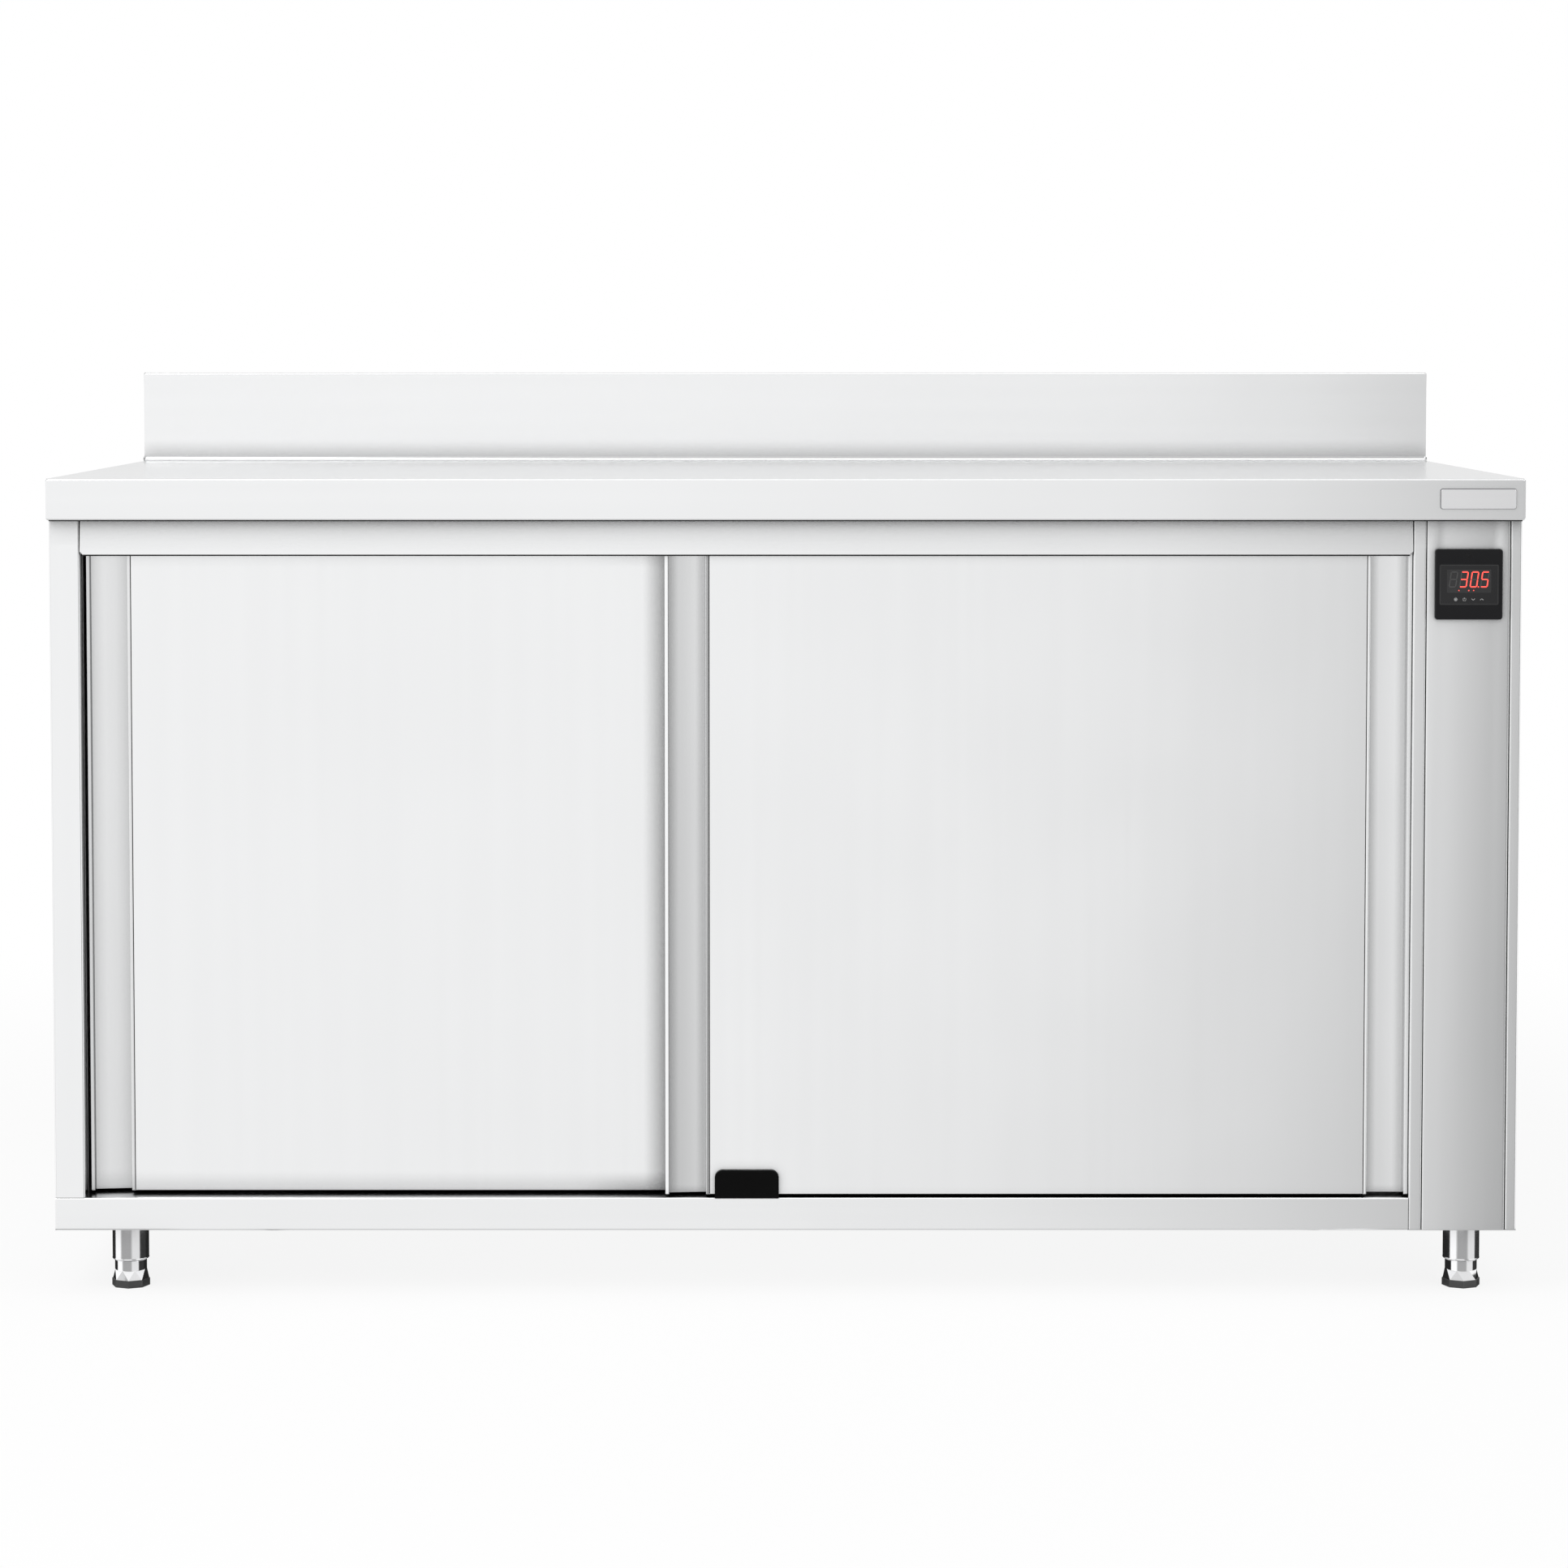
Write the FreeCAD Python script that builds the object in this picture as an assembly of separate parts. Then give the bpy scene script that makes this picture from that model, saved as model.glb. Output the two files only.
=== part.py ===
import FreeCAD, Part

import math
import os

from FreeCAD import Vector

# Heated cupboard with two sliding doors, in millimetres.
# X runs to the right, Y to the back and Z up. The origin is on the floor, under the middle.

# Overall sizes
WIDTH = 1600.0
DEPTH = 700.0
WORKTOP_HEIGHT = 895.0
UPSTAND_HEIGHT = 110.0
UPSTAND_THICKNESS = 12.0
WORKTOP_FOLD = 45.0
COVE_RADIUS = 6.0
BODY_FRONT_INSET = 12.0
BODY_REAR_INSET = 12.0
LEG_HEIGHT = 72.0
BASE_HEIGHT = 36.0

# Sheet metal
SHEET = 1.0
LINER_SHEET = 0.8
BEND = 1.0
FLANGE = 20.0
PANEL_GAP = 0.3

# Walls
LEFT_WALL = 33.0
BACK_WALL = 30.0
CEILING_DROP = 45.0
CONTROL_SECTION = 118.0
PARTITION = 14.5
CONTROL_GAP = 0.8
RIGHT_STRIP = 12.5
DOOR_ZONE = 50.0
FASCIA_DROP = 37.5
FASCIA_CORNER = 3.0
STIFFENER_DEPTH = 18.0
STIFFENER_WIDTH = 60.0
STIFFENER_PITCH = 300.0

# Doors
DOOR_FRONT_GAP = 2.5
DOOR_THICKNESS = 17.0
DOOR_SPACING = 4.0
DOOR_FLOOR_GAP = 3.3
DOOR_LEFT_GAP = 3.0
DOOR_RIGHT_GAP = 0.8
DOOR_OVERLAP = 180.2
DOOR_HEAD = 21.5
DOOR_SHEET = 0.8
DOOR_BEND = 0.5
HANDLE_LIP = 4.0
HANDLE_WIDTH = 40.5
HANDLE_DEPTH = 14.0
HANDLE_END = 3.0
CORE_GAP = 0.4

# Door gear
ROLLER_RADIUS = 12.0
GROOVE_RADIUS = 9.5
GROOVE_WIDTH = 2.2
ROLLER_WIDTH = 8.0
ROLLER_RIM = 1.2
ROLLER_GAP = 0.2
ROLLER_SIDE_GAP = 0.4
AXLE_RADIUS = 3.0
AXLE_CLEARANCE = 0.05
AXLE_RISE = 26.0
AXLE_HEAD_RADIUS = 5.0
AXLE_HEAD = 1.5
HANGER_SHEET = 2.0
HANGER_WIDTH = 50.0
HANGER_INSET = 20.0
HANGER_FOOT = 13.0
RAIL_SHEET = 1.5
RAIL_LIP = 8.0
RAIL_WEB_OFFSET = 11.6
RAIL_HEADROOM = 3.0
RAIL_FLANGE = 20.0
RAIL_END_GAP = 2.0
STOP_GAP = 0.3
GUIDE_WIDTH = 70.0
GUIDE_HEIGHT = 30.0
GUIDE_WALL = 3.0
GUIDE_CLEARANCE = 0.7
GUIDE_CORNER = 8.5

# Air duct, fan and heater
DUCT_DEPTH = 45.0
DUCT_REAR_GAP = 2.0
FAN_HEIGHT = 300.0
FAN_BACK = 10.0
FAN_RADIUS = 75.0
FAN_EYE = 52.0
FAN_WIDTH = 27.0
FAN_SHEET = 1.2
FAN_WALL_GAP = 6.0
BLADE_COUNT = 20
BLADE_SHEET = 1.0
SHAFT_RADIUS = 4.0
HUB_RADIUS = 11.0
SHAFT_HOLE_RADIUS = 14.0
MOTOR_RADIUS = 44.0
MOTOR_LENGTH = 44.0
MOTOR_CAP_RADIUS = 30.0
MOTOR_CAP = 16.0
MOTOR_STANDOFF = 20.0
RING_RADIUS = 95.0
HEATER_TUBE_RADIUS = 4.0
HEATER_BEND = 12.0
HEATER_GAP_ANGLE = 16.0
SLOT_WIDTH = 5.0
OUTLET_SLOTS = 9
OUTLET_SLOT_LENGTH = 26.0
OUTLET_SLOT_HEIGHT = 8.0

# Shelf
STANDARD_WIDTH = 20.0
STANDARD_DEPTH = 8.0
STANDARD_MARGIN = 42.0
STANDARD_OFFSET = 220.0
STANDARD_SLOT_WIDTH = 10.0
STANDARD_SLOT_HEIGHT = 12.0
SHELF_PITCH = 50.0
SHELF_SLOT_COUNT = 5
SHELF_RIM = 30.0
SHELF_RETURN = 12.0
SHELF_GAP = 2.0
SHELF_FRONT_GAP = 10.0
CLIP_SHEET = 1.5
CLIP_WIDTH = 14.0
CLIP_HEIGHT = 25.0
CLIP_TONGUE = 14.0
CLIP_HOOK = 8.0
CLIP_HOOK_DROP = 10.0
CLIP_HOOK_REACH = 2.5

# Controls
BEZEL_WIDTH = 73.0
BEZEL_HEIGHT = 76.5
BEZEL_THICKNESS = 4.0
BEZEL_CORNER = 3.0
BEZEL_DROP = 31.5
WINDOW_WIDTH = 64.4
WINDOW_HEIGHT = 44.0
WINDOW_DROP = 16.5
WINDOW_THICKNESS = 1.5
CAP_RADIUS = 3.1
CAP_DROP = 6.5
HOUSING_WIDTH = 66.0
HOUSING_HEIGHT = 68.0
HOUSING_DEPTH = 52.0
CONTROL_FOLD = 15.0
GLAND_BORE = 4.5
GLAND_RADIUS = 11.0
GLAND_HEIGHT = 120.0
VENT_COUNT = 8
VENT_PITCH = 12.0
VENT_LENGTH = 50.0
VENT_HEIGHT = 4.0

# Electrical parts on the partition
THERMOSTAT_RADIUS = 17.0
THERMOSTAT_DEPTH = 20.0
THERMOSTAT_FLANGE_LENGTH = 52.0
THERMOSTAT_FLANGE_WIDTH = 24.0
THERMOSTAT_FLANGE_SHEET = 2.0
THERMOSTAT_CORNER = 4.0
THERMOSTAT_STEM_RADIUS = 4.0
THERMOSTAT_STEM = 9.0
THERMOSTAT_BLADE = 10.0
THERMOSTAT_BLADE_WIDTH = 6.4
THERMOSTAT_BLADE_OFFSET = 11.0
PROBE_RADIUS = 3.0
PROBE_COLLAR_RADIUS = 8.0
PROBE_COLLAR = 3.0
PROBE_TAIL = 10.0
TERMINAL_COUNT = 6
TERMINAL_PITCH = 12.0
TERMINAL_HEIGHT = 26.0
TERMINAL_DEPTH = 20.0
TERMINAL_BASE = 3.0
TERMINAL_WELL_RADIUS = 2.6

# Legs and feet
LEG_INSET_LEFT = 75.0
LEG_INSET_RIGHT = 52.0
LEG_INSET_FRONT = 65.0
LEG_RADIUS = 20.0
LEG_WALL = 1.5
LEG_CLEAR = 30.5
LEG_PLATE = 60.0
LEG_PLATE_THICKNESS = 3.0
FOOT_COLLAR_RADIUS = 17.5
FOOT_FLARE_HEIGHT = 11.0
FOOT_FLARE_RADIUS = 20.0
FOOT_PAD_HEIGHT = 8.0
FOOT_PAD_RADIUS = 21.0
FOOT_GAP = 0.3
SPINDLE_RADIUS = 5.0
SPINDLE_CLEARANCE = 0.05
SPINDLE_RISE = 38.0
INSERT_HEIGHT = 20.0

# Planes that the pieces share
x_left = -WIDTH / 2
x_right = WIDTH / 2
y_front = -DEPTH / 2
y_rear = DEPTH / 2
body_left = x_left + SHEET
body_right = x_right - SHEET
body_front = y_front + BODY_FRONT_INSET
body_rear = y_rear - BODY_REAR_INSET
body_top = WORKTOP_HEIGHT - SHEET
base_bottom = LEG_HEIGHT
base_inner = base_bottom + SHEET
floor_z = base_bottom + BASE_HEIGHT
ceiling_z = WORKTOP_HEIGHT - CEILING_DROP
opening_left = body_left + LEFT_WALL
opening_right = body_right - CONTROL_SECTION
partition_right = opening_right + PARTITION
strip_left = body_right - RIGHT_STRIP
chamber_front = body_front + DOOR_ZONE
chamber_rear = body_rear - BACK_WALL
fascia_bottom = WORKTOP_HEIGHT - WORKTOP_FOLD - FASCIA_DROP
duct_face = opening_right - DUCT_DEPTH

# Doors and their gear
front_door_y = body_front + SHEET + DOOR_FRONT_GAP
rear_door_y = front_door_y + DOOR_THICKNESS + DOOR_SPACING
door_bottom = floor_z + DOOR_FLOOR_GAP
door_top = fascia_bottom + DOOR_HEAD
opening_width = opening_right - opening_left
door_width = (opening_width - DOOR_LEFT_GAP - DOOR_RIGHT_GAP + DOOR_OVERLAP) / 2
left_door_x = opening_left + DOOR_LEFT_GAP
right_door_x = opening_right - DOOR_RIGHT_GAP - door_width
door_travel = right_door_x - left_door_x
axle_z = door_top + AXLE_RISE
rail_top = axle_z + ROLLER_RADIUS + RAIL_HEADROOM + RAIL_SHEET
rail_lip_z = axle_z - GROOVE_RADIUS - ROLLER_GAP
hanger_set = DOOR_THICKNESS - DOOR_SHEET - HANGER_SHEET
roller_set = hanger_set - ROLLER_SIDE_GAP - ROLLER_WIDTH / 2

# Shelf and its uprights
standard_bottom = floor_z + STANDARD_MARGIN
standard_top = ceiling_z - STANDARD_MARGIN
first_slot_z = standard_bottom + FLANGE
shelf_rest = first_slot_z + SHELF_SLOT_COUNT * SHELF_PITCH + CLIP_HOOK_DROP
left_standard_face = opening_left + STANDARD_DEPTH
right_standard_face = duct_face - STANDARD_DEPTH

# Fan
fan_back_x = opening_right - FAN_WALL_GAP
fan_front_x = fan_back_x - FAN_WIDTH
motor_face = partition_right + MOTOR_STANDOFF
heater_x = (duct_face + opening_right) / 2 + FAN_SHEET

# Feet
leg_xs = (x_left + LEG_INSET_LEFT, x_right - LEG_INSET_RIGHT)
leg_ys = (y_front + LEG_INSET_FRONT, y_rear - LEG_INSET_FRONT)
collar_top = LEG_CLEAR - FOOT_GAP
flare_top = FOOT_PAD_HEIGHT + FOOT_FLARE_HEIGHT

AXES = {"X": Vector(1, 0, 0), "Y": Vector(0, 1, 0), "Z": Vector(0, 0, 1)}


def place(u, v, axis, at):
    """Point of a section drawn square to an axis: (Y, Z), (X, Z) or (X, Y)."""
    if axis == "X":
        return Vector(at, u, v)
    if axis == "Y":
        return Vector(u, at, v)
    return Vector(u, v, at)


def box(x0, x1, y0, y1, z0, z1):
    return Part.makeBox(x1 - x0, y1 - y0, z1 - z0, Vector(x0, y0, z0))


def rod(radius, start, axis, length):
    return Part.makeCylinder(radius, length, start, AXES[axis])


def tube(radius, bore, start, axis, length):
    return rod(radius, start, axis, length).cut(rod(bore, start, axis, length))


def unit(a, b):
    length = math.hypot(b[0] - a[0], b[1] - a[1])
    return ((b[0] - a[0]) / length, (b[1] - a[1]) / length)


def moved(point, direction, distance):
    return (point[0] + direction[0] * distance, point[1] + direction[1] * distance)


def left_of(direction):
    return (-direction[1], direction[0])


def bend_arcs(before, corner, after, thickness, bend, side):
    """The two arcs of a fold, on the drawn face and on the other face of the sheet."""
    into = unit(before, corner)
    out = unit(corner, after)
    cross = into[0] * out[1] - into[1] * out[0]
    dot = into[0] * out[0] + into[1] * out[1]
    turn = 1 if cross > 0 else -1
    radius = bend + thickness if turn == side else bend
    other = radius - turn * side * thickness
    reach = radius * math.tan(abs(math.atan2(cross, dot)) / 2)
    start = moved(corner, into, -reach)
    end = moved(corner, out, reach)
    centre = moved(start, left_of(into), turn * radius)
    middle = unit(centre, corner)
    near = (start, moved(centre, middle, radius), end)
    far = (
        moved(start, left_of(into), side * thickness),
        moved(centre, middle, other),
        moved(end, left_of(out), side * thickness),
    )
    return near, far


def run_edges(first, arcs, last, axis, at):
    """Straight edges and arcs from the first point to the last."""
    edges = []
    here = first
    for start, middle, end in arcs:
        if math.dist(here, start) > 1e-6:
            edges.append(Part.makeLine(place(*here, axis, at), place(*start, axis, at)))
        arc = Part.Arc(place(*start, axis, at), place(*middle, axis, at), place(*end, axis, at))
        edges.append(arc.toShape())
        here = end
    if math.dist(here, last) > 1e-6:
        edges.append(Part.makeLine(place(*here, axis, at), place(*last, axis, at)))
    return edges


def folded(points, thickness, bend, axis, start, end, side=1):
    """A folded sheet: the points are its outer face, and the sheet lies to their left (1) or right (-1)."""
    corners = []
    for before, corner, after in zip(points, points[1:], points[2:]):
        corners.append(bend_arcs(before, corner, after, thickness, bend, side))
    first_out = left_of(unit(points[0], points[1]))
    last_out = left_of(unit(points[-2], points[-1]))
    far_first = moved(points[0], first_out, side * thickness)
    far_last = moved(points[-1], last_out, side * thickness)
    near = run_edges(points[0], [c[0] for c in corners], points[-1], axis, start)
    far = run_edges(far_first, [c[1] for c in corners], far_last, axis, start)
    end_cap = Part.makeLine(place(*points[-1], axis, start), place(*far_last, axis, start))
    start_cap = Part.makeLine(place(*far_first, axis, start), place(*points[0], axis, start))
    wire = Part.Wire(near + [end_cap] + far[::-1] + [start_cap])
    return Part.Face(wire).extrude(AXES[axis] * (end - start))


def plate(points, axis, start, end):
    """A flat plate from a closed outline of (u, v) or (u, v, corner radius) points."""
    edges = []
    arcs = []
    count = len(points)
    for i, point in enumerate(points):
        radius = point[2] if len(point) > 2 else 0
        if radius <= 0:
            arcs.append((point[:2], None, point[:2]))
            continue
        before = points[i - 1][:2]
        after = points[(i + 1) % count][:2]
        near, _ = bend_arcs(before, point[:2], after, 0, radius, 1)
        arcs.append(near)
    for i, (begin, middle, finish) in enumerate(arcs):
        if middle:
            arc = Part.Arc(
                place(*begin, axis, start), place(*middle, axis, start), place(*finish, axis, start)
            )
            edges.append(arc.toShape())
        following = arcs[(i + 1) % count][0]
        if math.dist(finish, following) > 1e-6:
            edges.append(Part.makeLine(place(*finish, axis, start), place(*following, axis, start)))
    return Part.Face(Part.Wire(edges)).extrude(AXES[axis] * (end - start))


def rectangle(u0, u1, v0, v1, radius=0):
    return [(u0, v0, radius), (u1, v0, radius), (u1, v1, radius), (u0, v1, radius)]


def turned(outline, origin, axis):
    """A solid of revolution from closed (radius, height) points."""
    side = AXES["X"] if axis != "X" else AXES["Y"]
    along = AXES[axis]
    points = [origin + side * r + along * h for r, h in outline]
    face = Part.Face(Part.makePolygon(points + [points[0]]))
    return face.revolve(origin, along, 360)


def about(shape, centre, axis, angle):
    copy = shape.copy()
    copy.rotate(centre, AXES[axis], angle)
    return copy


# Carcass


def worktop():
    top = WORKTOP_HEIGHT
    upstand_top = top + UPSTAND_HEIGHT
    upstand_y = y_rear - UPSTAND_THICKNESS
    lower = top - WORKTOP_FOLD
    front_part = folded(
        [
            (body_front - PANEL_GAP, lower),
            (y_front, lower),
            (y_front, top),
            (upstand_y - COVE_RADIUS, top),
        ],
        SHEET, BEND, "X", x_left, x_right, side=-1,
    )
    cove = folded(
        [
            (upstand_y - COVE_RADIUS, top),
            (upstand_y, top),
            (upstand_y, top + COVE_RADIUS),
        ],
        SHEET, COVE_RADIUS, "X", x_left, x_right, side=-1,
    )
    rear_part = folded(
        [
            (upstand_y, top + COVE_RADIUS),
            (upstand_y, upstand_top),
            (y_rear, upstand_top),
            (y_rear, lower),
        ],
        SHEET, BEND, "X", x_left, x_right, side=-1,
    )
    shape = front_part.fuse([cove, rear_part])
    for x0 in (x_left, x_right - SHEET):
        side_fold = box(
            x0, x0 + SHEET, y_front + SHEET + BEND, y_rear - SHEET - BEND, lower, top - SHEET - BEND
        )
        joint = box(x0, x0 + SHEET, y_front + SHEET, y_rear - SHEET, lower, body_top)
        upstand_end = box(
            x0, x0 + SHEET, upstand_y + SHEET, y_rear - SHEET, body_top, upstand_top - SHEET
        )
        shape = shape.fuse([side_fold, joint, upstand_end])
    return shape.removeSplitter()


def stiffener(middle_y):
    half = STIFFENER_WIDTH / 2
    low = body_top - STIFFENER_DEPTH
    return folded(
        [
            (middle_y - half - FLANGE, body_top),
            (middle_y - half, body_top),
            (middle_y - half, low),
            (middle_y + half, low),
            (middle_y + half, body_top),
            (middle_y + half + FLANGE, body_top),
        ],
        SHEET, BEND, "X", opening_left + SHEET, opening_right - SHEET, side=-1,
    )


def worktop_stiffeners():
    offsets = (-STIFFENER_PITCH / 2, STIFFENER_PITCH / 2)
    return Part.makeCompound([stiffener(y) for y in offsets])


def left_side_panel():
    return folded(
        [
            (opening_left, body_front + FLANGE),
            (opening_left, body_front),
            (body_left, body_front),
            (body_left, body_rear),
            (body_left + FLANGE, body_rear),
        ],
        SHEET, BEND, "Z", floor_z, body_top, side=-1,
    )


def right_side_panel():
    return folded(
        [
            (strip_left, body_front + FLANGE),
            (strip_left, body_front),
            (body_right, body_front),
            (body_right, body_rear),
            (body_right - FLANGE, body_rear),
        ],
        SHEET, BEND, "Z", base_inner, body_top, side=1,
    )


def base_tray():
    section = [
        (body_rear, floor_z),
        (body_rear, base_bottom),
        (body_front, base_bottom),
        (body_front, floor_z),
        (chamber_front, floor_z),
    ]
    chamber_part = folded(section, SHEET, BEND, "X", body_left, opening_right, side=-1)
    control_part = box(
        opening_right, body_right, body_front, body_rear, base_bottom, base_inner
    )
    left_end = box(
        body_left, body_left + SHEET,
        body_front + SHEET, body_rear - SHEET, base_bottom, floor_z,
    )
    right_end = box(
        opening_right - SHEET, opening_right,
        body_front + SHEET, chamber_front, base_inner, floor_z - SHEET,
    )
    return chamber_part.fuse([control_part, left_end, right_end]).removeSplitter()


def partition_panel():
    shape = folded(
        [
            (opening_right, chamber_rear),
            (opening_right, body_front),
            (partition_right, body_front),
            (partition_right, body_rear - SHEET),
            (partition_right + FLANGE, body_rear - SHEET),
        ],
        SHEET, BEND, "Z", base_inner, body_top, side=1,
    )
    notch = box(
        opening_right, opening_right + SHEET,
        body_front + 2 * SHEET + BEND, chamber_rear, base_inner, floor_z,
    )
    return shape.cut([notch] + partition_holes())


def partition_holes():
    """Holes through the partition for the shaft, the heater's two ends and the probe."""
    start = opening_right
    holes = [rod(SHAFT_HOLE_RADIUS, Vector(start, FAN_BACK, FAN_HEIGHT), "X", PARTITION)]
    for y, z in heater_ends():
        holes.append(rod(HEATER_TUBE_RADIUS + PANEL_GAP, Vector(start, y, z), "X", PARTITION))
    y, z = probe_place()
    holes.append(rod(PROBE_RADIUS + PANEL_GAP, Vector(start, y, z), "X", PARTITION))
    return holes


def chamber_left_liner():
    front = body_front + FLANGE + PANEL_GAP
    return folded(
        [
            (body_left + SHEET + PANEL_GAP, front),
            (opening_left, front),
            (opening_left, chamber_rear),
        ],
        LINER_SHEET, BEND, "Z", floor_z, ceiling_z, side=1,
    )


def chamber_back_liner():
    return folded(
        [
            (opening_left - LINER_SHEET, chamber_rear),
            (opening_right + SHEET, chamber_rear),
        ],
        LINER_SHEET, BEND, "Z", floor_z, ceiling_z, side=1,
    )


def chamber_floor():
    return box(
        opening_left, opening_right,
        chamber_front + PANEL_GAP, chamber_rear, floor_z - LINER_SHEET, floor_z,
    )


def chamber_ceiling():
    return folded(
        [
            (chamber_front, body_top),
            (chamber_front, ceiling_z),
            (chamber_rear, ceiling_z),
        ],
        LINER_SHEET, BEND, "X", opening_left + SHEET, opening_right, side=1,
    )


def back_panel():
    panel = box(
        body_left + BEND + SHEET, body_right - BEND - SHEET,
        body_rear, body_rear + LINER_SHEET, base_inner, body_top - PANEL_GAP,
    )
    hole = rod(gland_barrel(), Vector(gland_x(), body_rear, GLAND_HEIGHT), "Y", LINER_SHEET)
    return panel.cut([hole] + vent_slots())


def vent_slots():
    """Slots in the back panel that let warm air out of the control compartment."""
    left = gland_x() - VENT_LENGTH / 2
    slots = []
    for i in range(VENT_COUNT):
        top = bezel_top() - i * VENT_PITCH
        slots.append(
            box(
                left, left + VENT_LENGTH, body_rear, body_rear + LINER_SHEET,
                top - VENT_HEIGHT, top,
            )
        )
    return slots


def wall_insulation():
    """Mineral wool slabs between the skins: left wall, back wall, floor, ceiling and partition."""
    gap = PANEL_GAP
    left_slab = box(
        body_left + SHEET + gap, opening_left - LINER_SHEET - gap,
        body_front + FLANGE + LINER_SHEET + 2 * gap, chamber_rear, floor_z, ceiling_z,
    )
    back_slab = box(
        opening_left, opening_right,
        chamber_rear + LINER_SHEET + gap, body_rear - SHEET - gap, floor_z, ceiling_z,
    )
    floor_slab = box(
        body_left + SHEET + gap, opening_right - SHEET - gap,
        body_front + SHEET + BEND, body_rear - SHEET - BEND,
        base_inner, floor_z - SHEET - BEND,
    )
    ceiling_slab = box(
        opening_left + SHEET, opening_right - gap,
        chamber_front + LINER_SHEET + BEND, chamber_rear,
        ceiling_z + LINER_SHEET, body_top - STIFFENER_DEPTH - SHEET - gap,
    )
    partition_slab = box(
        opening_right + SHEET + gap, partition_right - SHEET - gap,
        body_front + SHEET + BEND + gap, chamber_rear - gap, floor_z, body_top - gap,
    ).cut(partition_holes())
    return Part.makeCompound([left_slab, back_slab, floor_slab, ceiling_slab, partition_slab])


def top_fascia():
    left = opening_left + PANEL_GAP
    right = opening_right - PANEL_GAP
    shape = folded(
        [
            (body_front, fascia_bottom),
            (body_front, rail_top + SHEET),
            (chamber_front - 2 * PANEL_GAP, rail_top + SHEET),
        ],
        SHEET, BEND, "X", left, right, side=-1,
    )
    outline = [
        (left, fascia_bottom, FASCIA_CORNER),
        (right, fascia_bottom, FASCIA_CORNER),
        (right, body_top),
        (left, body_top),
    ]
    return shape.common(plate(outline, "Y", body_front, chamber_front))


def control_panel_front():
    left = partition_right + CONTROL_GAP
    right = strip_left - CONTROL_GAP
    shape = folded(
        [
            (left, body_front + CONTROL_FOLD),
            (left, body_front),
            (right, body_front),
            (right, body_front + CONTROL_FOLD),
        ],
        SHEET, BEND, "Z", base_inner, body_top - PANEL_GAP, side=1,
    )
    middle = control_middle()
    half = HOUSING_WIDTH / 2 + PANEL_GAP
    low = housing_bottom() - PANEL_GAP
    cutout = box(
        middle - half, middle + half,
        body_front, body_front + SHEET, low, low + HOUSING_HEIGHT + 2 * PANEL_GAP,
    )
    return shape.cut(cutout)


# Door gear on the carcass


def door_rail(door_y):
    """A rail with an upturned lip, which the grooved rollers run on."""
    groove_y = door_y + roller_set
    lip_y = groove_y + RAIL_SHEET / 2
    web_y = groove_y - RAIL_WEB_OFFSET
    flange_z = rail_lip_z - RAIL_LIP
    return folded(
        [
            (lip_y, rail_lip_z),
            (lip_y, flange_z),
            (web_y, flange_z),
            (web_y, rail_top),
            (web_y + RAIL_FLANGE, rail_top),
        ],
        RAIL_SHEET, BEND, "X",
        opening_left + RAIL_END_GAP, opening_right - RAIL_END_GAP, side=-1,
    )


def door_rails():
    return Part.makeCompound([door_rail(front_door_y), door_rail(rear_door_y)])


def stop_block(door_y, x0, x1):
    """A rubber block in a rail, slotted over the lip. The hanger's edge meets its end."""
    groove_y = door_y + roller_set
    front = groove_y - RAIL_WEB_OFFSET + RAIL_SHEET + BEND
    back = door_y + hanger_set + HANGER_SHEET
    low = rail_lip_z - RAIL_LIP + RAIL_SHEET
    high = axle_z + ROLLER_RADIUS / 2
    half = RAIL_SHEET / 2
    outline = [
        (front, low),
        (groove_y - half - BEND, low),
        (groove_y - half - BEND, rail_lip_z),
        (groove_y + half, rail_lip_z),
        (groove_y + half, low + BEND),
        (back, low + BEND),
        (back, high, 3.0),
        (front, high, 3.0),
    ]
    return plate(outline, "X", x0, x1)


def door_stops():
    left_rail_end = opening_left + RAIL_END_GAP
    right_rail_end = opening_right - RAIL_END_GAP
    left_stop = left_door_x + HANGER_INSET - STOP_GAP
    right_stop = right_door_x + door_width - HANGER_INSET + STOP_GAP
    blocks = []
    for door_y in (front_door_y, rear_door_y):
        blocks.append(stop_block(door_y, left_rail_end, left_stop))
        blocks.append(stop_block(door_y, right_stop, right_rail_end))
    return Part.makeCompound(blocks)


def bottom_door_guide():
    """A plastic guide with two slots: the doors' lower edges run between its three walls."""
    middle = (opening_left + opening_right) / 2
    left = middle - GUIDE_WIDTH / 2
    right = middle + GUIDE_WIDTH / 2
    front = front_door_y - GUIDE_CLEARANCE - GUIDE_WALL
    back = rear_door_y + DOOR_THICKNESS + GUIDE_CLEARANCE + GUIDE_WALL
    outline = [
        (left, floor_z),
        (right, floor_z),
        (right, floor_z + GUIDE_HEIGHT, GUIDE_CORNER),
        (left, floor_z + GUIDE_HEIGHT, GUIDE_CORNER),
    ]
    shape = plate(outline, "Y", front, back)
    slot_floor = door_bottom - GUIDE_CLEARANCE
    for door_y in (front_door_y, rear_door_y):
        slot = box(
            left, right, door_y - GUIDE_CLEARANCE, door_y + DOOR_THICKNESS + GUIDE_CLEARANCE,
            slot_floor, floor_z + GUIDE_HEIGHT,
        )
        shape = shape.cut(slot)
    return shape


# Doors


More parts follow.
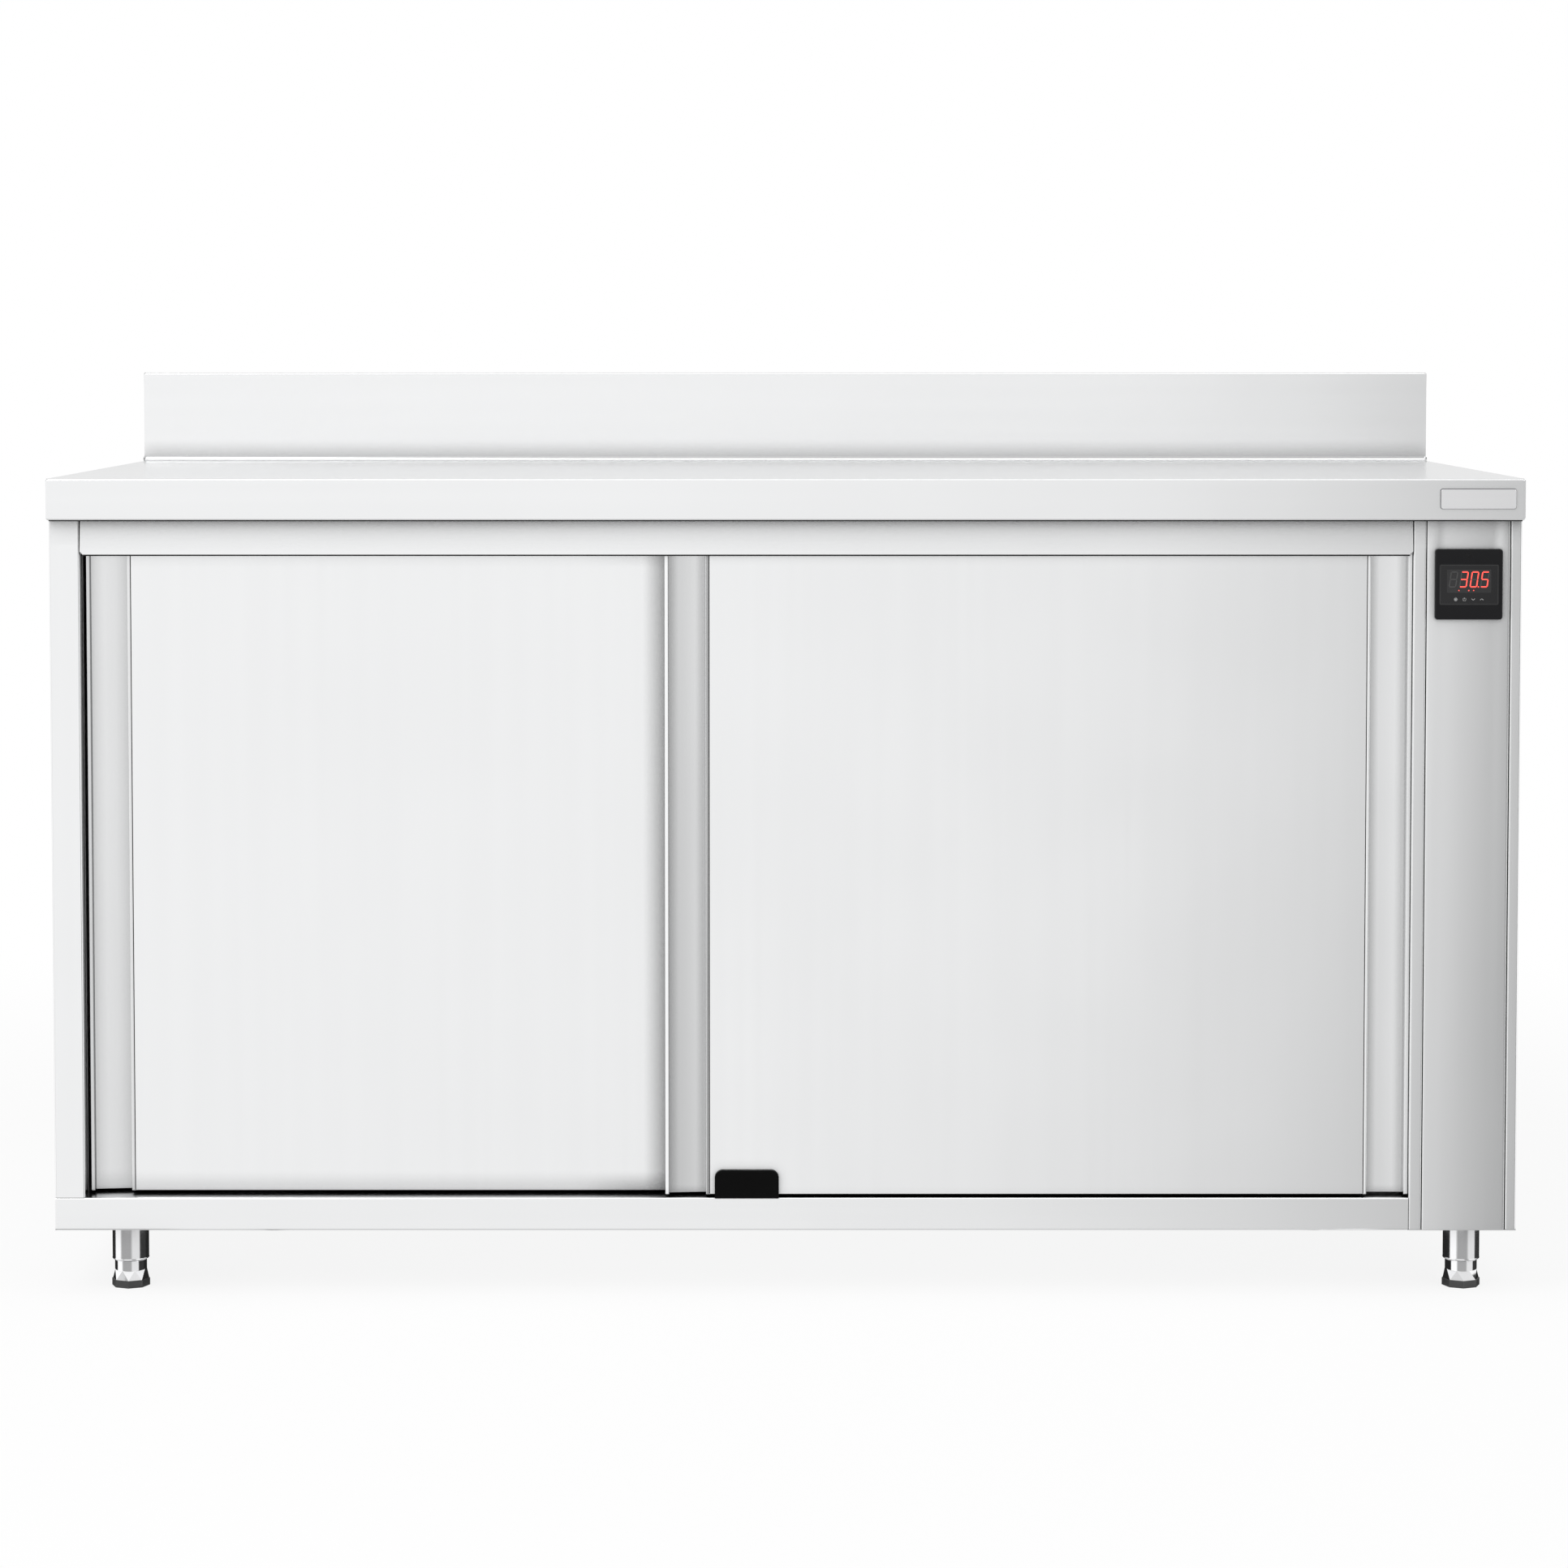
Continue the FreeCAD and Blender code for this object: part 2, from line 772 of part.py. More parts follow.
def door_outer_skin(x0, door_y):
    """The front skin, folded in at both edges into a handle channel that is open at the bottom."""
    x1 = x0 + door_width
    back = door_y + DOOR_THICKNESS - DOOR_SHEET
    floor_y = door_y + HANDLE_DEPTH
    channel = HANDLE_LIP + HANDLE_WIDTH
    section = [
        (x0, back),
        (x0, door_y),
        (x0 + HANDLE_LIP, door_y),
        (x0 + HANDLE_LIP, floor_y),
        (x0 + channel, floor_y),
        (x0 + channel, door_y),
        (x1 - channel, door_y),
        (x1 - channel, floor_y),
        (x1 - HANDLE_LIP, floor_y),
        (x1 - HANDLE_LIP, door_y),
        (x1, door_y),
        (x1, back),
    ]
    shape = folded(section, DOOR_SHEET, DOOR_BEND, "Z", door_bottom, door_top, side=1)
    front = door_y + DOOR_SHEET
    bottom = box(x0 + channel, x1 - channel, front, back, door_bottom, door_bottom + DOOR_SHEET)
    top = box(x0 + HANDLE_LIP, x1 - HANDLE_LIP, front, back, door_top - DOOR_SHEET, door_top)
    ends = [bottom, top]
    for left in (x0 + HANDLE_LIP, x1 - channel):
        ends.append(
            box(left, left + HANDLE_WIDTH, door_y, floor_y, door_top - HANDLE_END, door_top)
        )
    return shape.fuse(ends).removeSplitter()


def door_inner_skin(x0, door_y):
    back = door_y + DOOR_THICKNESS
    return box(x0, x0 + door_width, back - DOOR_SHEET, back, door_bottom, door_top)


def door_core(x0, door_y):
    inset = HANDLE_LIP + HANDLE_WIDTH + DOOR_SHEET + CORE_GAP
    lift = DOOR_SHEET + CORE_GAP
    return box(
        x0 + inset, x0 + door_width - inset,
        door_y + lift, door_y + DOOR_THICKNESS - lift,
        door_bottom + lift, door_top - lift,
    )


def hanger_xs(x0):
    half = HANGER_WIDTH / 2
    return (x0 + HANGER_INSET + half, x0 + door_width - HANGER_INSET - half)


def door_hanger(axle_x, door_y):
    """A bent bracket: its foot is on the door's top, and its tapered plate holds the axle."""
    half = HANGER_WIDTH / 2
    plate_y = door_y + hanger_set
    foot = box(
        axle_x - half, axle_x + half,
        plate_y + HANGER_SHEET - HANGER_FOOT, plate_y + HANGER_SHEET,
        door_top, door_top + HANGER_SHEET,
    )
    crown = axle_z + AXLE_HEAD_RADIUS + HANGER_SHEET
    shoulder = 2 * AXLE_HEAD_RADIUS
    outline = [
        (axle_x - half, door_top),
        (axle_x + half, door_top),
        (axle_x + half, door_top + shoulder),
        (axle_x + shoulder, crown, AXLE_HEAD_RADIUS),
        (axle_x - shoulder, crown, AXLE_HEAD_RADIUS),
        (axle_x - half, door_top + shoulder),
    ]
    upright = plate(outline, "Y", plate_y, plate_y + HANGER_SHEET)
    hole = rod(AXLE_RADIUS, Vector(axle_x, plate_y, axle_z), "Y", HANGER_SHEET)
    return foot.fuse(upright).cut(hole).removeSplitter()


def door_hangers(x0, door_y):
    return Part.makeCompound([door_hanger(x, door_y) for x in hanger_xs(x0)])


def roller_axle(axle_x, door_y):
    plate_y = door_y + hanger_set
    front = plate_y - 2 * ROLLER_SIDE_GAP - ROLLER_WIDTH
    back = plate_y + HANGER_SHEET
    outline = [
        (0, front - AXLE_HEAD),
        (AXLE_HEAD_RADIUS - 1, front - AXLE_HEAD),
        (AXLE_HEAD_RADIUS, front - AXLE_HEAD + 1),
        (AXLE_HEAD_RADIUS, front),
        (AXLE_RADIUS, front),
        (AXLE_RADIUS, back),
        (AXLE_HEAD_RADIUS - 1, back),
        (AXLE_HEAD_RADIUS - 1, back + 1),
        (0, back + 1),
    ]
    return turned(outline, Vector(axle_x, 0, axle_z), "Y")


def roller_axles(x0, door_y):
    return Part.makeCompound([roller_axle(x, door_y) for x in hanger_xs(x0)])


def roller(axle_x, door_y):
    """A grooved wheel. The rail's lip runs in the groove."""
    middle = door_y + roller_set
    half = ROLLER_WIDTH / 2
    bore = AXLE_RADIUS + AXLE_CLEARANCE
    outline = [
        (bore, -half),
        (ROLLER_RADIUS, -half),
        (ROLLER_RADIUS, -half + ROLLER_RIM),
        (GROOVE_RADIUS, -GROOVE_WIDTH / 2),
        (GROOVE_RADIUS, GROOVE_WIDTH / 2),
        (ROLLER_RADIUS, half - ROLLER_RIM),
        (ROLLER_RADIUS, half),
        (bore, half),
    ]
    return turned(outline, Vector(axle_x, middle, axle_z), "Y")


# Air duct, fan and heater


def air_duct_wall():
    """A false wall in front of the fan, with an intake grille round its eye and outlet slots."""
    front = chamber_front + DUCT_REAR_GAP
    back = chamber_rear - DUCT_REAR_GAP
    shape = folded(
        [
            (opening_right, front + FLANGE),
            (opening_right, front),
            (duct_face, front),
            (duct_face, back),
            (opening_right, back),
            (opening_right, back - FLANGE),
        ],
        LINER_SHEET, BEND, "Z", floor_z, ceiling_z, side=-1,
    )
    return shape.cut(intake_slots() + outlet_slots())


def intake_slots():
    """Two rings of radial slots in front of the fan's eye."""
    centre = Vector(duct_face, FAN_BACK, FAN_HEIGHT)
    slots = []
    rings = ((18.0, 36.0, 10), (43.0, 63.0, 18))
    for inner, outer, count in rings:
        slot = box(
            duct_face, duct_face + LINER_SHEET,
            FAN_BACK - SLOT_WIDTH / 2, FAN_BACK + SLOT_WIDTH / 2,
            FAN_HEIGHT + inner, FAN_HEIGHT + outer,
        )
        for i in range(count):
            slots.append(about(slot, centre, "X", 360.0 * i / count))
    return slots


def outlet_slots():
    """A row of slots near the ceiling and one near the floor."""
    slots = []
    pitch = OUTLET_SLOT_LENGTH + 2 * SLOT_WIDTH
    first = -pitch * (OUTLET_SLOTS - 1) / 2
    for z in (standard_bottom, standard_top - OUTLET_SLOT_HEIGHT):
        for i in range(OUTLET_SLOTS):
            middle = first + pitch * i
            slots.append(
                box(
                    duct_face, duct_face + LINER_SHEET,
                    middle - OUTLET_SLOT_LENGTH / 2, middle + OUTLET_SLOT_LENGTH / 2,
                    z, z + OUTLET_SLOT_HEIGHT,
                )
            )
    return slots


def fan_blade():
    """One forward-curved blade, an arc of sheet from the eye to the rim."""
    inner = (FAN_EYE, 0.0)
    outer = (FAN_RADIUS - FAN_SHEET, 9.0)
    middle = ((inner[0] + outer[0]) / 2 + 1.5, 1.5)

    def at(point, shift):
        return Vector(fan_front_x, FAN_BACK + point[0], FAN_HEIGHT + point[1] + shift)

    lower = Part.Arc(at(inner, 0), at(middle, 0), at(outer, 0)).toShape()
    upper = Part.Arc(at(inner, BLADE_SHEET), at(middle, BLADE_SHEET), at(outer, BLADE_SHEET)).toShape()
    root = Part.makeLine(at(inner, 0), at(inner, BLADE_SHEET))
    tip = Part.makeLine(at(outer, 0), at(outer, BLADE_SHEET))
    face = Part.Face(Part.Wire([root, upper, tip, lower]))
    return face.extrude(Vector(FAN_WIDTH, 0, 0))


def fan_impeller():
    centre = Vector(fan_front_x, FAN_BACK, FAN_HEIGHT)
    back_disc = rod(
        FAN_RADIUS, Vector(fan_back_x - FAN_SHEET, FAN_BACK, FAN_HEIGHT), "X", FAN_SHEET
    )
    rim = tube(FAN_RADIUS, FAN_RADIUS - 13.0, centre, "X", FAN_SHEET)
    hub = rod(HUB_RADIUS, centre, "X", FAN_WIDTH)
    blade = fan_blade()
    blades = [about(blade, centre, "X", 360.0 * i / BLADE_COUNT) for i in range(BLADE_COUNT)]
    shape = back_disc.fuse([rim, hub] + blades)
    return shape.cut(rod(SHAFT_RADIUS, centre, "X", FAN_WIDTH))


def fan_shaft():
    start = Vector(fan_front_x, FAN_BACK, FAN_HEIGHT)
    return rod(SHAFT_RADIUS, start, "X", motor_face + MOTOR_LENGTH - fan_front_x)


def fan_motor():
    start = Vector(motor_face, FAN_BACK, FAN_HEIGHT)
    body = rod(MOTOR_RADIUS, start, "X", MOTOR_LENGTH)
    grooves = []
    for i in range(12):
        fin = box(
            motor_face + 8.0, motor_face + MOTOR_LENGTH - 8.0,
            FAN_BACK - 3.0, FAN_BACK + 3.0,
            FAN_HEIGHT + MOTOR_RADIUS - 4.0, FAN_HEIGHT + MOTOR_RADIUS + 4.0,
        )
        grooves.append(about(fin, start, "X", 30.0 * i))
    cap_start = Vector(motor_face + MOTOR_LENGTH, FAN_BACK, FAN_HEIGHT)
    cap = rod(MOTOR_CAP_RADIUS, cap_start, "X", MOTOR_CAP)
    bore = rod(SHAFT_RADIUS + AXLE_CLEARANCE, start, "X", MOTOR_LENGTH + AXLE_CLEARANCE)
    return body.cut(grooves).fuse(cap).cut(bore)


def fan_bracket():
    """A square plate on four pillars, which carries the motor off the partition."""
    half = MOTOR_RADIUS + 10.0
    outline = rectangle(
        FAN_BACK - half, FAN_BACK + half, FAN_HEIGHT - half, FAN_HEIGHT + half, 8.0
    )
    back = plate(outline, "X", motor_face - 2.0, motor_face)
    pillars = []
    for dy in (-half + 10.0, half - 10.0):
        for dz in (-half + 10.0, half - 10.0):
            start = Vector(partition_right, FAN_BACK + dy, FAN_HEIGHT + dz)
            pillars.append(rod(5.0, start, "X", MOTOR_STANDOFF - 1.0))
    hole = rod(SHAFT_RADIUS + 3.0, Vector(motor_face - 2.0, FAN_BACK, FAN_HEIGHT), "X", 2.0)
    return back.fuse(pillars).cut(hole)


def ring_point(angle):
    """Point of the heater's ring and the direction of its tangent."""
    a = math.radians(angle)
    point = Vector(heater_x, FAN_BACK + RING_RADIUS * math.cos(a), FAN_HEIGHT + RING_RADIUS * math.sin(a))
    tangent = Vector(0, -math.sin(a), math.cos(a))
    return point, tangent


def heater_ends():
    """Where the ring's two ends pass through the partition, as (Y, Z)."""
    places = []
    for angle, sign in ((90 + HEATER_GAP_ANGLE, -1), (90 - HEATER_GAP_ANGLE, 1)):
        point, tangent = ring_point(angle)
        end = point + tangent * (sign * HEATER_BEND)
        places.append((end.y, end.z))
    return places


def heater_leg(angle, sign):
    """The bend out of the ring's plane and the straight end, from the ring outwards."""
    point, tangent = ring_point(angle)
    along = tangent * sign
    x = AXES["X"]
    half = math.sqrt(0.5)
    middle = point + x * (HEATER_BEND * (1 - half)) + along * (HEATER_BEND * half)
    end = point + (x + along) * HEATER_BEND
    tip = Vector(partition_right + MOTOR_STANDOFF, end.y, end.z)
    return [Part.Arc(point, middle, end).toShape(), Part.makeLine(end, tip)]


def heating_element():
    """A tubular ring round the impeller, with two ends through the partition."""
    start = 90 + HEATER_GAP_ANGLE
    finish = 450 - HEATER_GAP_ANGLE
    ring = Part.Arc(
        ring_point(start)[0], ring_point((start + finish) / 2)[0], ring_point(finish)[0]
    ).toShape()
    first = heater_leg(start, -1)
    last = heater_leg(finish, 1)
    path = Part.Wire([first[1], first[0], ring, last[0], last[1]])
    tip = first[1].Vertexes[1].Point
    section = Part.Wire(Part.makeCircle(HEATER_TUBE_RADIUS, tip, AXES["X"]))
    shape = path.makePipeShell([section], True, True)
    for y, z in heater_ends():
        collar = rod(
            HEATER_TUBE_RADIUS + 5.0, Vector(opening_right - 2.0, y, z), "X", 2.0
        )
        shape = shape.fuse(collar)
    return shape


def probe_place():
    return (FAN_BACK + 2 * RING_RADIUS, FAN_HEIGHT + 2 * RING_RADIUS)


def temperature_probe():
    y, z = probe_place()
    tip = duct_face + DUCT_DEPTH / 4
    stem = rod(PROBE_RADIUS, Vector(tip, y, z), "X", partition_right + PROBE_TAIL - tip)
    collar_start = Vector(opening_right - PROBE_COLLAR, y, z)
    collar = rod(PROBE_COLLAR_RADIUS, collar_start, "X", PROBE_COLLAR)
    return stem.fuse(collar)


def safety_thermostat():
    """A capsule with a flange, a reset stem and two blade terminals, on the partition."""
    y = FAN_BACK - 2 * MOTOR_RADIUS
    z = FAN_HEIGHT + 2 * RING_RADIUS
    start = partition_right
    half_length = THERMOSTAT_FLANGE_LENGTH / 2
    half_width = THERMOSTAT_FLANGE_WIDTH / 2
    outline = rectangle(
        y - half_length, y + half_length, z - half_width, z + half_width, THERMOSTAT_CORNER
    )
    flange = plate(outline, "X", start, start + THERMOSTAT_FLANGE_SHEET)
    body = rod(THERMOSTAT_RADIUS, Vector(start, y, z), "X", THERMOSTAT_DEPTH)
    end = start + THERMOSTAT_DEPTH
    stem = rod(THERMOSTAT_STEM_RADIUS, Vector(end, y, z), "X", THERMOSTAT_STEM)
    blades = []
    for middle in (y - THERMOSTAT_BLADE_OFFSET, y + THERMOSTAT_BLADE_OFFSET):
        blades.append(
            box(
                end, end + THERMOSTAT_BLADE, middle - LINER_SHEET / 2, middle + LINER_SHEET / 2,
                z - THERMOSTAT_BLADE_WIDTH / 2, z + THERMOSTAT_BLADE_WIDTH / 2,
            )
        )
    return flange.fuse([body, stem] + blades)


def terminal_block():
    """A strip of clamp cells on the partition, with a well over each screw."""
    pitch = TERMINAL_PITCH
    length = TERMINAL_COUNT * pitch
    y0 = chamber_rear - 2 * FLANGE - length
    z0 = GLAND_HEIGHT + 2 * FLANGE
    start = partition_right
    end = start + TERMINAL_DEPTH
    top = z0 + TERMINAL_HEIGHT
    base = box(start, start + TERMINAL_BASE, y0 - pitch / 2, y0 + length + pitch / 2, z0, top)
    body = box(start + TERMINAL_BASE, end, y0, y0 + length, z0 + TERMINAL_BASE, top - TERMINAL_BASE)
    middle_z = z0 + TERMINAL_HEIGHT / 2
    well_depth = 2 * TERMINAL_BASE
    wells = []
    for i in range(TERMINAL_COUNT):
        middle = y0 + pitch * (i + 0.5)
        for z in (middle_z - 2 * TERMINAL_WELL_RADIUS, middle_z + 2 * TERMINAL_WELL_RADIUS):
            start_of_well = Vector(end - well_depth, middle, z)
            wells.append(rod(TERMINAL_WELL_RADIUS, start_of_well, "X", well_depth))
    half_slit = LINER_SHEET / 2
    for i in range(1, TERMINAL_COUNT):
        middle = y0 + pitch * i
        slit = box(end - 2 * TERMINAL_BASE, end, middle - half_slit, middle + half_slit, z0, top)
        wells.append(slit)
    return base.fuse(body).cut(wells)


# Shelf


def shelf_standard(wall_x, face_x, middle_y):
    """A slotted channel on a wall; its slotted face looks into the chamber."""
    half = STANDARD_WIDTH / 2
    points = [
        (wall_x, middle_y - half),
        (face_x, middle_y - half),
        (face_x, middle_y + half),
        (wall_x, middle_y + half),
    ]
    side = 1 if face_x > wall_x else -1
    shape = folded(points, SHEET, BEND, "Z", standard_bottom, standard_top, side=side)
    slot_half = STANDARD_SLOT_WIDTH / 2
    slots = []
    z = first_slot_z
    while z + STANDARD_SLOT_HEIGHT < standard_top:
        slots.append(
            box(
                min(face_x, face_x - side * SHEET), max(face_x, face_x - side * SHEET),
                middle_y - slot_half, middle_y + slot_half,
                z - STANDARD_SLOT_HEIGHT / 2, z + STANDARD_SLOT_HEIGHT / 2,
            )
        )
        z += SHELF_PITCH
    return shape.cut(slots)


def standard_places():
    """Wall plane, face plane and Y of each shelf upright."""
    places = []
    for middle_y in (-STANDARD_OFFSET, STANDARD_OFFSET):
        places.append((opening_left, left_standard_face, middle_y))
        places.append((duct_face, right_standard_face, middle_y))
    return places


def shelf_standards():
    return Part.makeCompound([shelf_standard(*place_of) for place_of in standard_places()])


def shelf_clip(wall_x, face_x, middle_y):
    """A bent clip hooked into an upright's slot; its tongue holds the shelf's rim."""
    way = 1 if face_x > wall_x else -1
    points = [
        (face_x, shelf_rest - CLIP_HEIGHT),
        (face_x, shelf_rest),
        (face_x + way * CLIP_TONGUE, shelf_rest),
    ]
    low = middle_y - CLIP_WIDTH / 2
    shape = folded(points, CLIP_SHEET, BEND, "Y", low, low + CLIP_WIDTH, side=-way)
    hook_half = CLIP_HOOK / 2
    hook_z = shelf_rest - CLIP_HOOK_DROP
    hook_end = face_x - way * CLIP_HOOK_REACH
    hook = box(
        min(face_x, hook_end), max(face_x, hook_end),
        middle_y - hook_half, middle_y + hook_half, hook_z - hook_half, hook_z + hook_half,
    )
    return shape.fuse(hook)


def shelf_clips():
    return Part.makeCompound([shelf_clip(*place_of) for place_of in standard_places()])


def middle_shelf():
    """A folded tray, upside down: its rims stand on the clips."""
    left = left_standard_face + SHELF_GAP
    right = right_standard_face - SHELF_GAP
    front = chamber_front + SHELF_FRONT_GAP
    back = chamber_rear - SHELF_FRONT_GAP / 2
    top = shelf_rest + SHELF_RIM
    shape = folded(
        [
            (front + SHELF_RETURN, shelf_rest),
            (front, shelf_rest),
            (front, top),
            (back, top),
            (back, shelf_rest),
            (back - SHELF_RETURN, shelf_rest),
        ],
        SHEET, BEND, "X", left, right, side=-1,
    )
    ends = []
    for x0 in (left, right - SHEET):
        ends.append(
            box(x0, x0 + SHEET, front + SHEET, back - SHEET, shelf_rest, top - SHEET)
        )
    return shape.fuse(ends).removeSplitter()


# Controls


def control_middle():
    return (partition_right + strip_left) / 2


def bezel_top():
    return WORKTOP_HEIGHT - WORKTOP_FOLD - BEZEL_DROP


def housing_bottom():
    return bezel_top() - (BEZEL_HEIGHT + HOUSING_HEIGHT) / 2


def controller_bezel():
    """A moulded frame with round corners, a seat for the window and a small cap above it."""
    middle = control_middle()
    top = bezel_top()
    outline = rectangle(
        middle - BEZEL_WIDTH / 2, middle + BEZEL_WIDTH / 2, top - BEZEL_HEIGHT, top, BEZEL_CORNER
    )
    front = body_front - BEZEL_THICKNESS
    shape = plate(outline, "Y", front, body_front)
    front_edges = [
        e for e in shape.Edges
        if abs(e.BoundBox.YMin - front) < 1e-6 and abs(e.BoundBox.YMax - front) < 1e-6
    ]
    shape = shape.makeFillet(1.2, front_edges)
    cap = rod(CAP_RADIUS, Vector(middle, front, top - CAP_DROP), "Y", 0.8)
    return shape.cut([window_solid(0.0), cap])


def window_solid(gap):
    middle = control_middle()
    top = bezel_top() - WINDOW_DROP
    half = WINDOW_WIDTH / 2 - gap
    front = body_front - BEZEL_THICKNESS
    outline = rectangle(middle - half, middle + half, top - WINDOW_HEIGHT + gap, top - gap, 2.0)
    return plate(outline, "Y", front, front + WINDOW_THICKNESS)


def controller_window():
    return window_solid(0.1)


def controller_housing():
    middle = control_middle()
    low = housing_bottom()
    half = HOUSING_WIDTH / 2
    outline = rectangle(middle - half, middle + half, low, low + HOUSING_HEIGHT, 2.0)
    shape = plate(outline, "Y", body_front, body_front + HOUSING_DEPTH)
    socket = box(
        middle - half + 8.0, middle + half - 8.0,
        body_front + HOUSING_DEPTH - 10.0, body_front + HOUSING_DEPTH, low + 8.0, low + 20.0,
    )
    vents = []
    for i in range(5):
        x = middle - half + 13.0 + 10.0 * i
        vents.append(
            box(
                x - 1.5, x + 1.5, body_front + 12.0, body_front + HOUSING_DEPTH - 14.0,
                low + HOUSING_HEIGHT - 2.0, low + HOUSING_HEIGHT,
            )
        )
    return shape.cut([socket] + vents)


def gland_x():
    return control_middle()


def gland_barrel():
    return GLAND_RADIUS - 2.5


def cable_gland():
    """A bushing through the back panel: flange outside, barrel through the hole, nut inside."""
    face = body_rear + LINER_SHEET
    outline = [
        (GLAND_BORE, body_rear - 9.0),
        (gland_barrel() - 0.5, body_rear - 9.0),
        (gland_barrel(), body_rear - 8.5),
        (gland_barrel(), face),
        (GLAND_RADIUS, face),
        (GLAND_RADIUS, face + 3.0),
        (gland_barrel() - 1.0, face + 9.0),
        (GLAND_BORE, face + 9.0),
    ]
    shape = turned(outline, Vector(gland_x(), 0, GLAND_HEIGHT), "Y")
    nut_outline = []
    for i in range(6):
        a = math.radians(60.0 * i)
        nut_outline.append(
            (gland_x() + 13.0 * math.cos(a), GLAND_HEIGHT + 13.0 * math.sin(a))
        )
    nut = plate(nut_outline, "Y", body_rear - 5.0, body_rear)
    hole = rod(gland_barrel(), Vector(gland_x(), body_rear - 5.0, GLAND_HEIGHT), "Y", 5.0)
    return shape.fuse(nut.cut(hole))


# Legs and feet


def leg_tube(x, y):
    """A round tube under a square plate, which is screwed to the base tray."""
    half = LEG_PLATE / 2
    plate_z = base_bottom - LEG_PLATE_THICKNESS
    top = plate(rectangle(x - half, x + half, y - half, y + half, 8.0), "Z", plate_z, base_bottom)
    stem = tube(LEG_RADIUS, LEG_RADIUS - LEG_WALL, Vector(x, y, LEG_CLEAR), "Z", plate_z - LEG_CLEAR)
    return top.fuse(stem)


def leg_insert(x, y):
    """A bushing in the tube's lower end, with the bore that the spindle runs in."""
    start = Vector(x, y, LEG_CLEAR)
    return tube(LEG_RADIUS - LEG_WALL, SPINDLE_RADIUS + SPINDLE_CLEARANCE, start, "Z", INSERT_HEIGHT)


def leg_places():
    return [(x, y) for y in leg_ys for x in leg_xs]


def leg_tubes():
    return Part.makeCompound([leg_tube(x, y) for x, y in leg_places()])


def leg_inserts():
    return Part.makeCompound([leg_insert(x, y) for x, y in leg_places()])


def octagon(x, y, z, radius, turn):
    corners = []
    for i in range(8):
        a = math.radians(45.0 * i + turn)
        corners.append(Vector(x + radius * math.cos(a), y + radius * math.sin(a), z))
    return corners


def foot_flare(x, y):
    """The flare between the collar and the octagon: a ring of triangular facets."""
    low = octagon(x, y, FOOT_PAD_HEIGHT, FOOT_FLARE_RADIUS, 0.0)
    high = octagon(x, y, flare_top, FOOT_COLLAR_RADIUS, 22.5)
    faces = []
    for i in range(8):
        j = (i + 1) % 8
        for corners in ((low[i], low[j], high[i]), (low[j], high[j], high[i])):
            faces.append(Part.Face(Part.makePolygon(list(corners) + [corners[0]])))
    faces.append(Part.Face(Part.makePolygon(low + [low[0]])))
    faces.append(Part.Face(Part.makePolygon(high + [high[0]])))
    solid = Part.Solid(Part.Shell(faces))
    if solid.Volume < 0:
        solid.reverse()
    return solid


def foot(x, y):
    """An adjustable foot: spindle, round collar and faceted flare."""
    collar = rod(FOOT_COLLAR_RADIUS, Vector(x, y, flare_top), "Z", collar_top - flare_top)
    spindle = rod(SPINDLE_RADIUS, Vector(x, y, flare_top), "Z", collar_top + SPINDLE_RISE - flare_top)
    return foot_flare(x, y).fuse([collar, spindle])


def foot_pad(x, y):
    corners = octagon(x, y, 0.0, FOOT_PAD_RADIUS, 0.0)
    face = Part.Face(Part.makePolygon(corners + [corners[0]]))
    return face.extrude(Vector(0, 0, FOOT_PAD_HEIGHT))


# Nodes


def carcass_nodes():
    return {
        "worktop": worktop(),
        "worktop_stiffeners": worktop_stiffeners(),
        "left_side_panel": left_side_panel(),
        "right_side_panel": right_side_panel(),
        "base_tray": base_tray(),
        "partition_panel": partition_panel(),
        "chamber_left_liner": chamber_left_liner(),
        "chamber_back_liner": chamber_back_liner(),
        "chamber_floor": chamber_floor(),
        "chamber_ceiling": chamber_ceiling(),
        "back_panel": back_panel(),
        "wall_insulation": wall_insulation(),
        "top_fascia": top_fascia(),
        "control_panel_front": control_panel_front(),
        "door_rails": door_rails(),
        "door_stops": door_stops(),
        "bottom_door_guide": bottom_door_guide(),
        "air_duct_wall": air_duct_wall(),
        "fan_motor": fan_motor(),
        "fan_bracket": fan_bracket(),
        "heating_element": heating_element(),
        "temperature_probe": temperature_probe(),
        "safety_thermostat": safety_thermostat(),
        "terminal_block": terminal_block(),
        "shelf_standards": shelf_standards(),
        "shelf_clips": shelf_clips(),
        "controller_bezel": controller_bezel(),
        "controller_window": controller_window(),
        "controller_housing": controller_housing(),
        "cable_gland": cable_gland(),
        "leg_tubes": leg_tubes(),
        "leg_inserts": leg_inserts(),
    }


def door_nodes(name, x0, door_y):
    nodes = {
        name + "_outer_skin": door_outer_skin(x0, door_y),
        name + "_inner_skin": door_inner_skin(x0, door_y),
        name + "_core": door_core(x0, door_y),
        name + "_hangers": door_hangers(x0, door_y),
        name + "_axles": roller_axles(x0, door_y),
    }
    for side, axle_x in zip(("left", "right"), hanger_xs(x0)):
        nodes[name + "_" + side + "_roller"] = roller(axle_x, door_y)
    return nodes


def foot_nodes():
    nodes = {}
    names = ("front_left", "front_right", "rear_left", "rear_right")
    for name, (x, y) in zip(names, leg_places()):
        nodes[name + "_foot"] = foot(x, y)
        nodes[name + "_foot_pad"] = foot_pad(x, y)
    return nodes


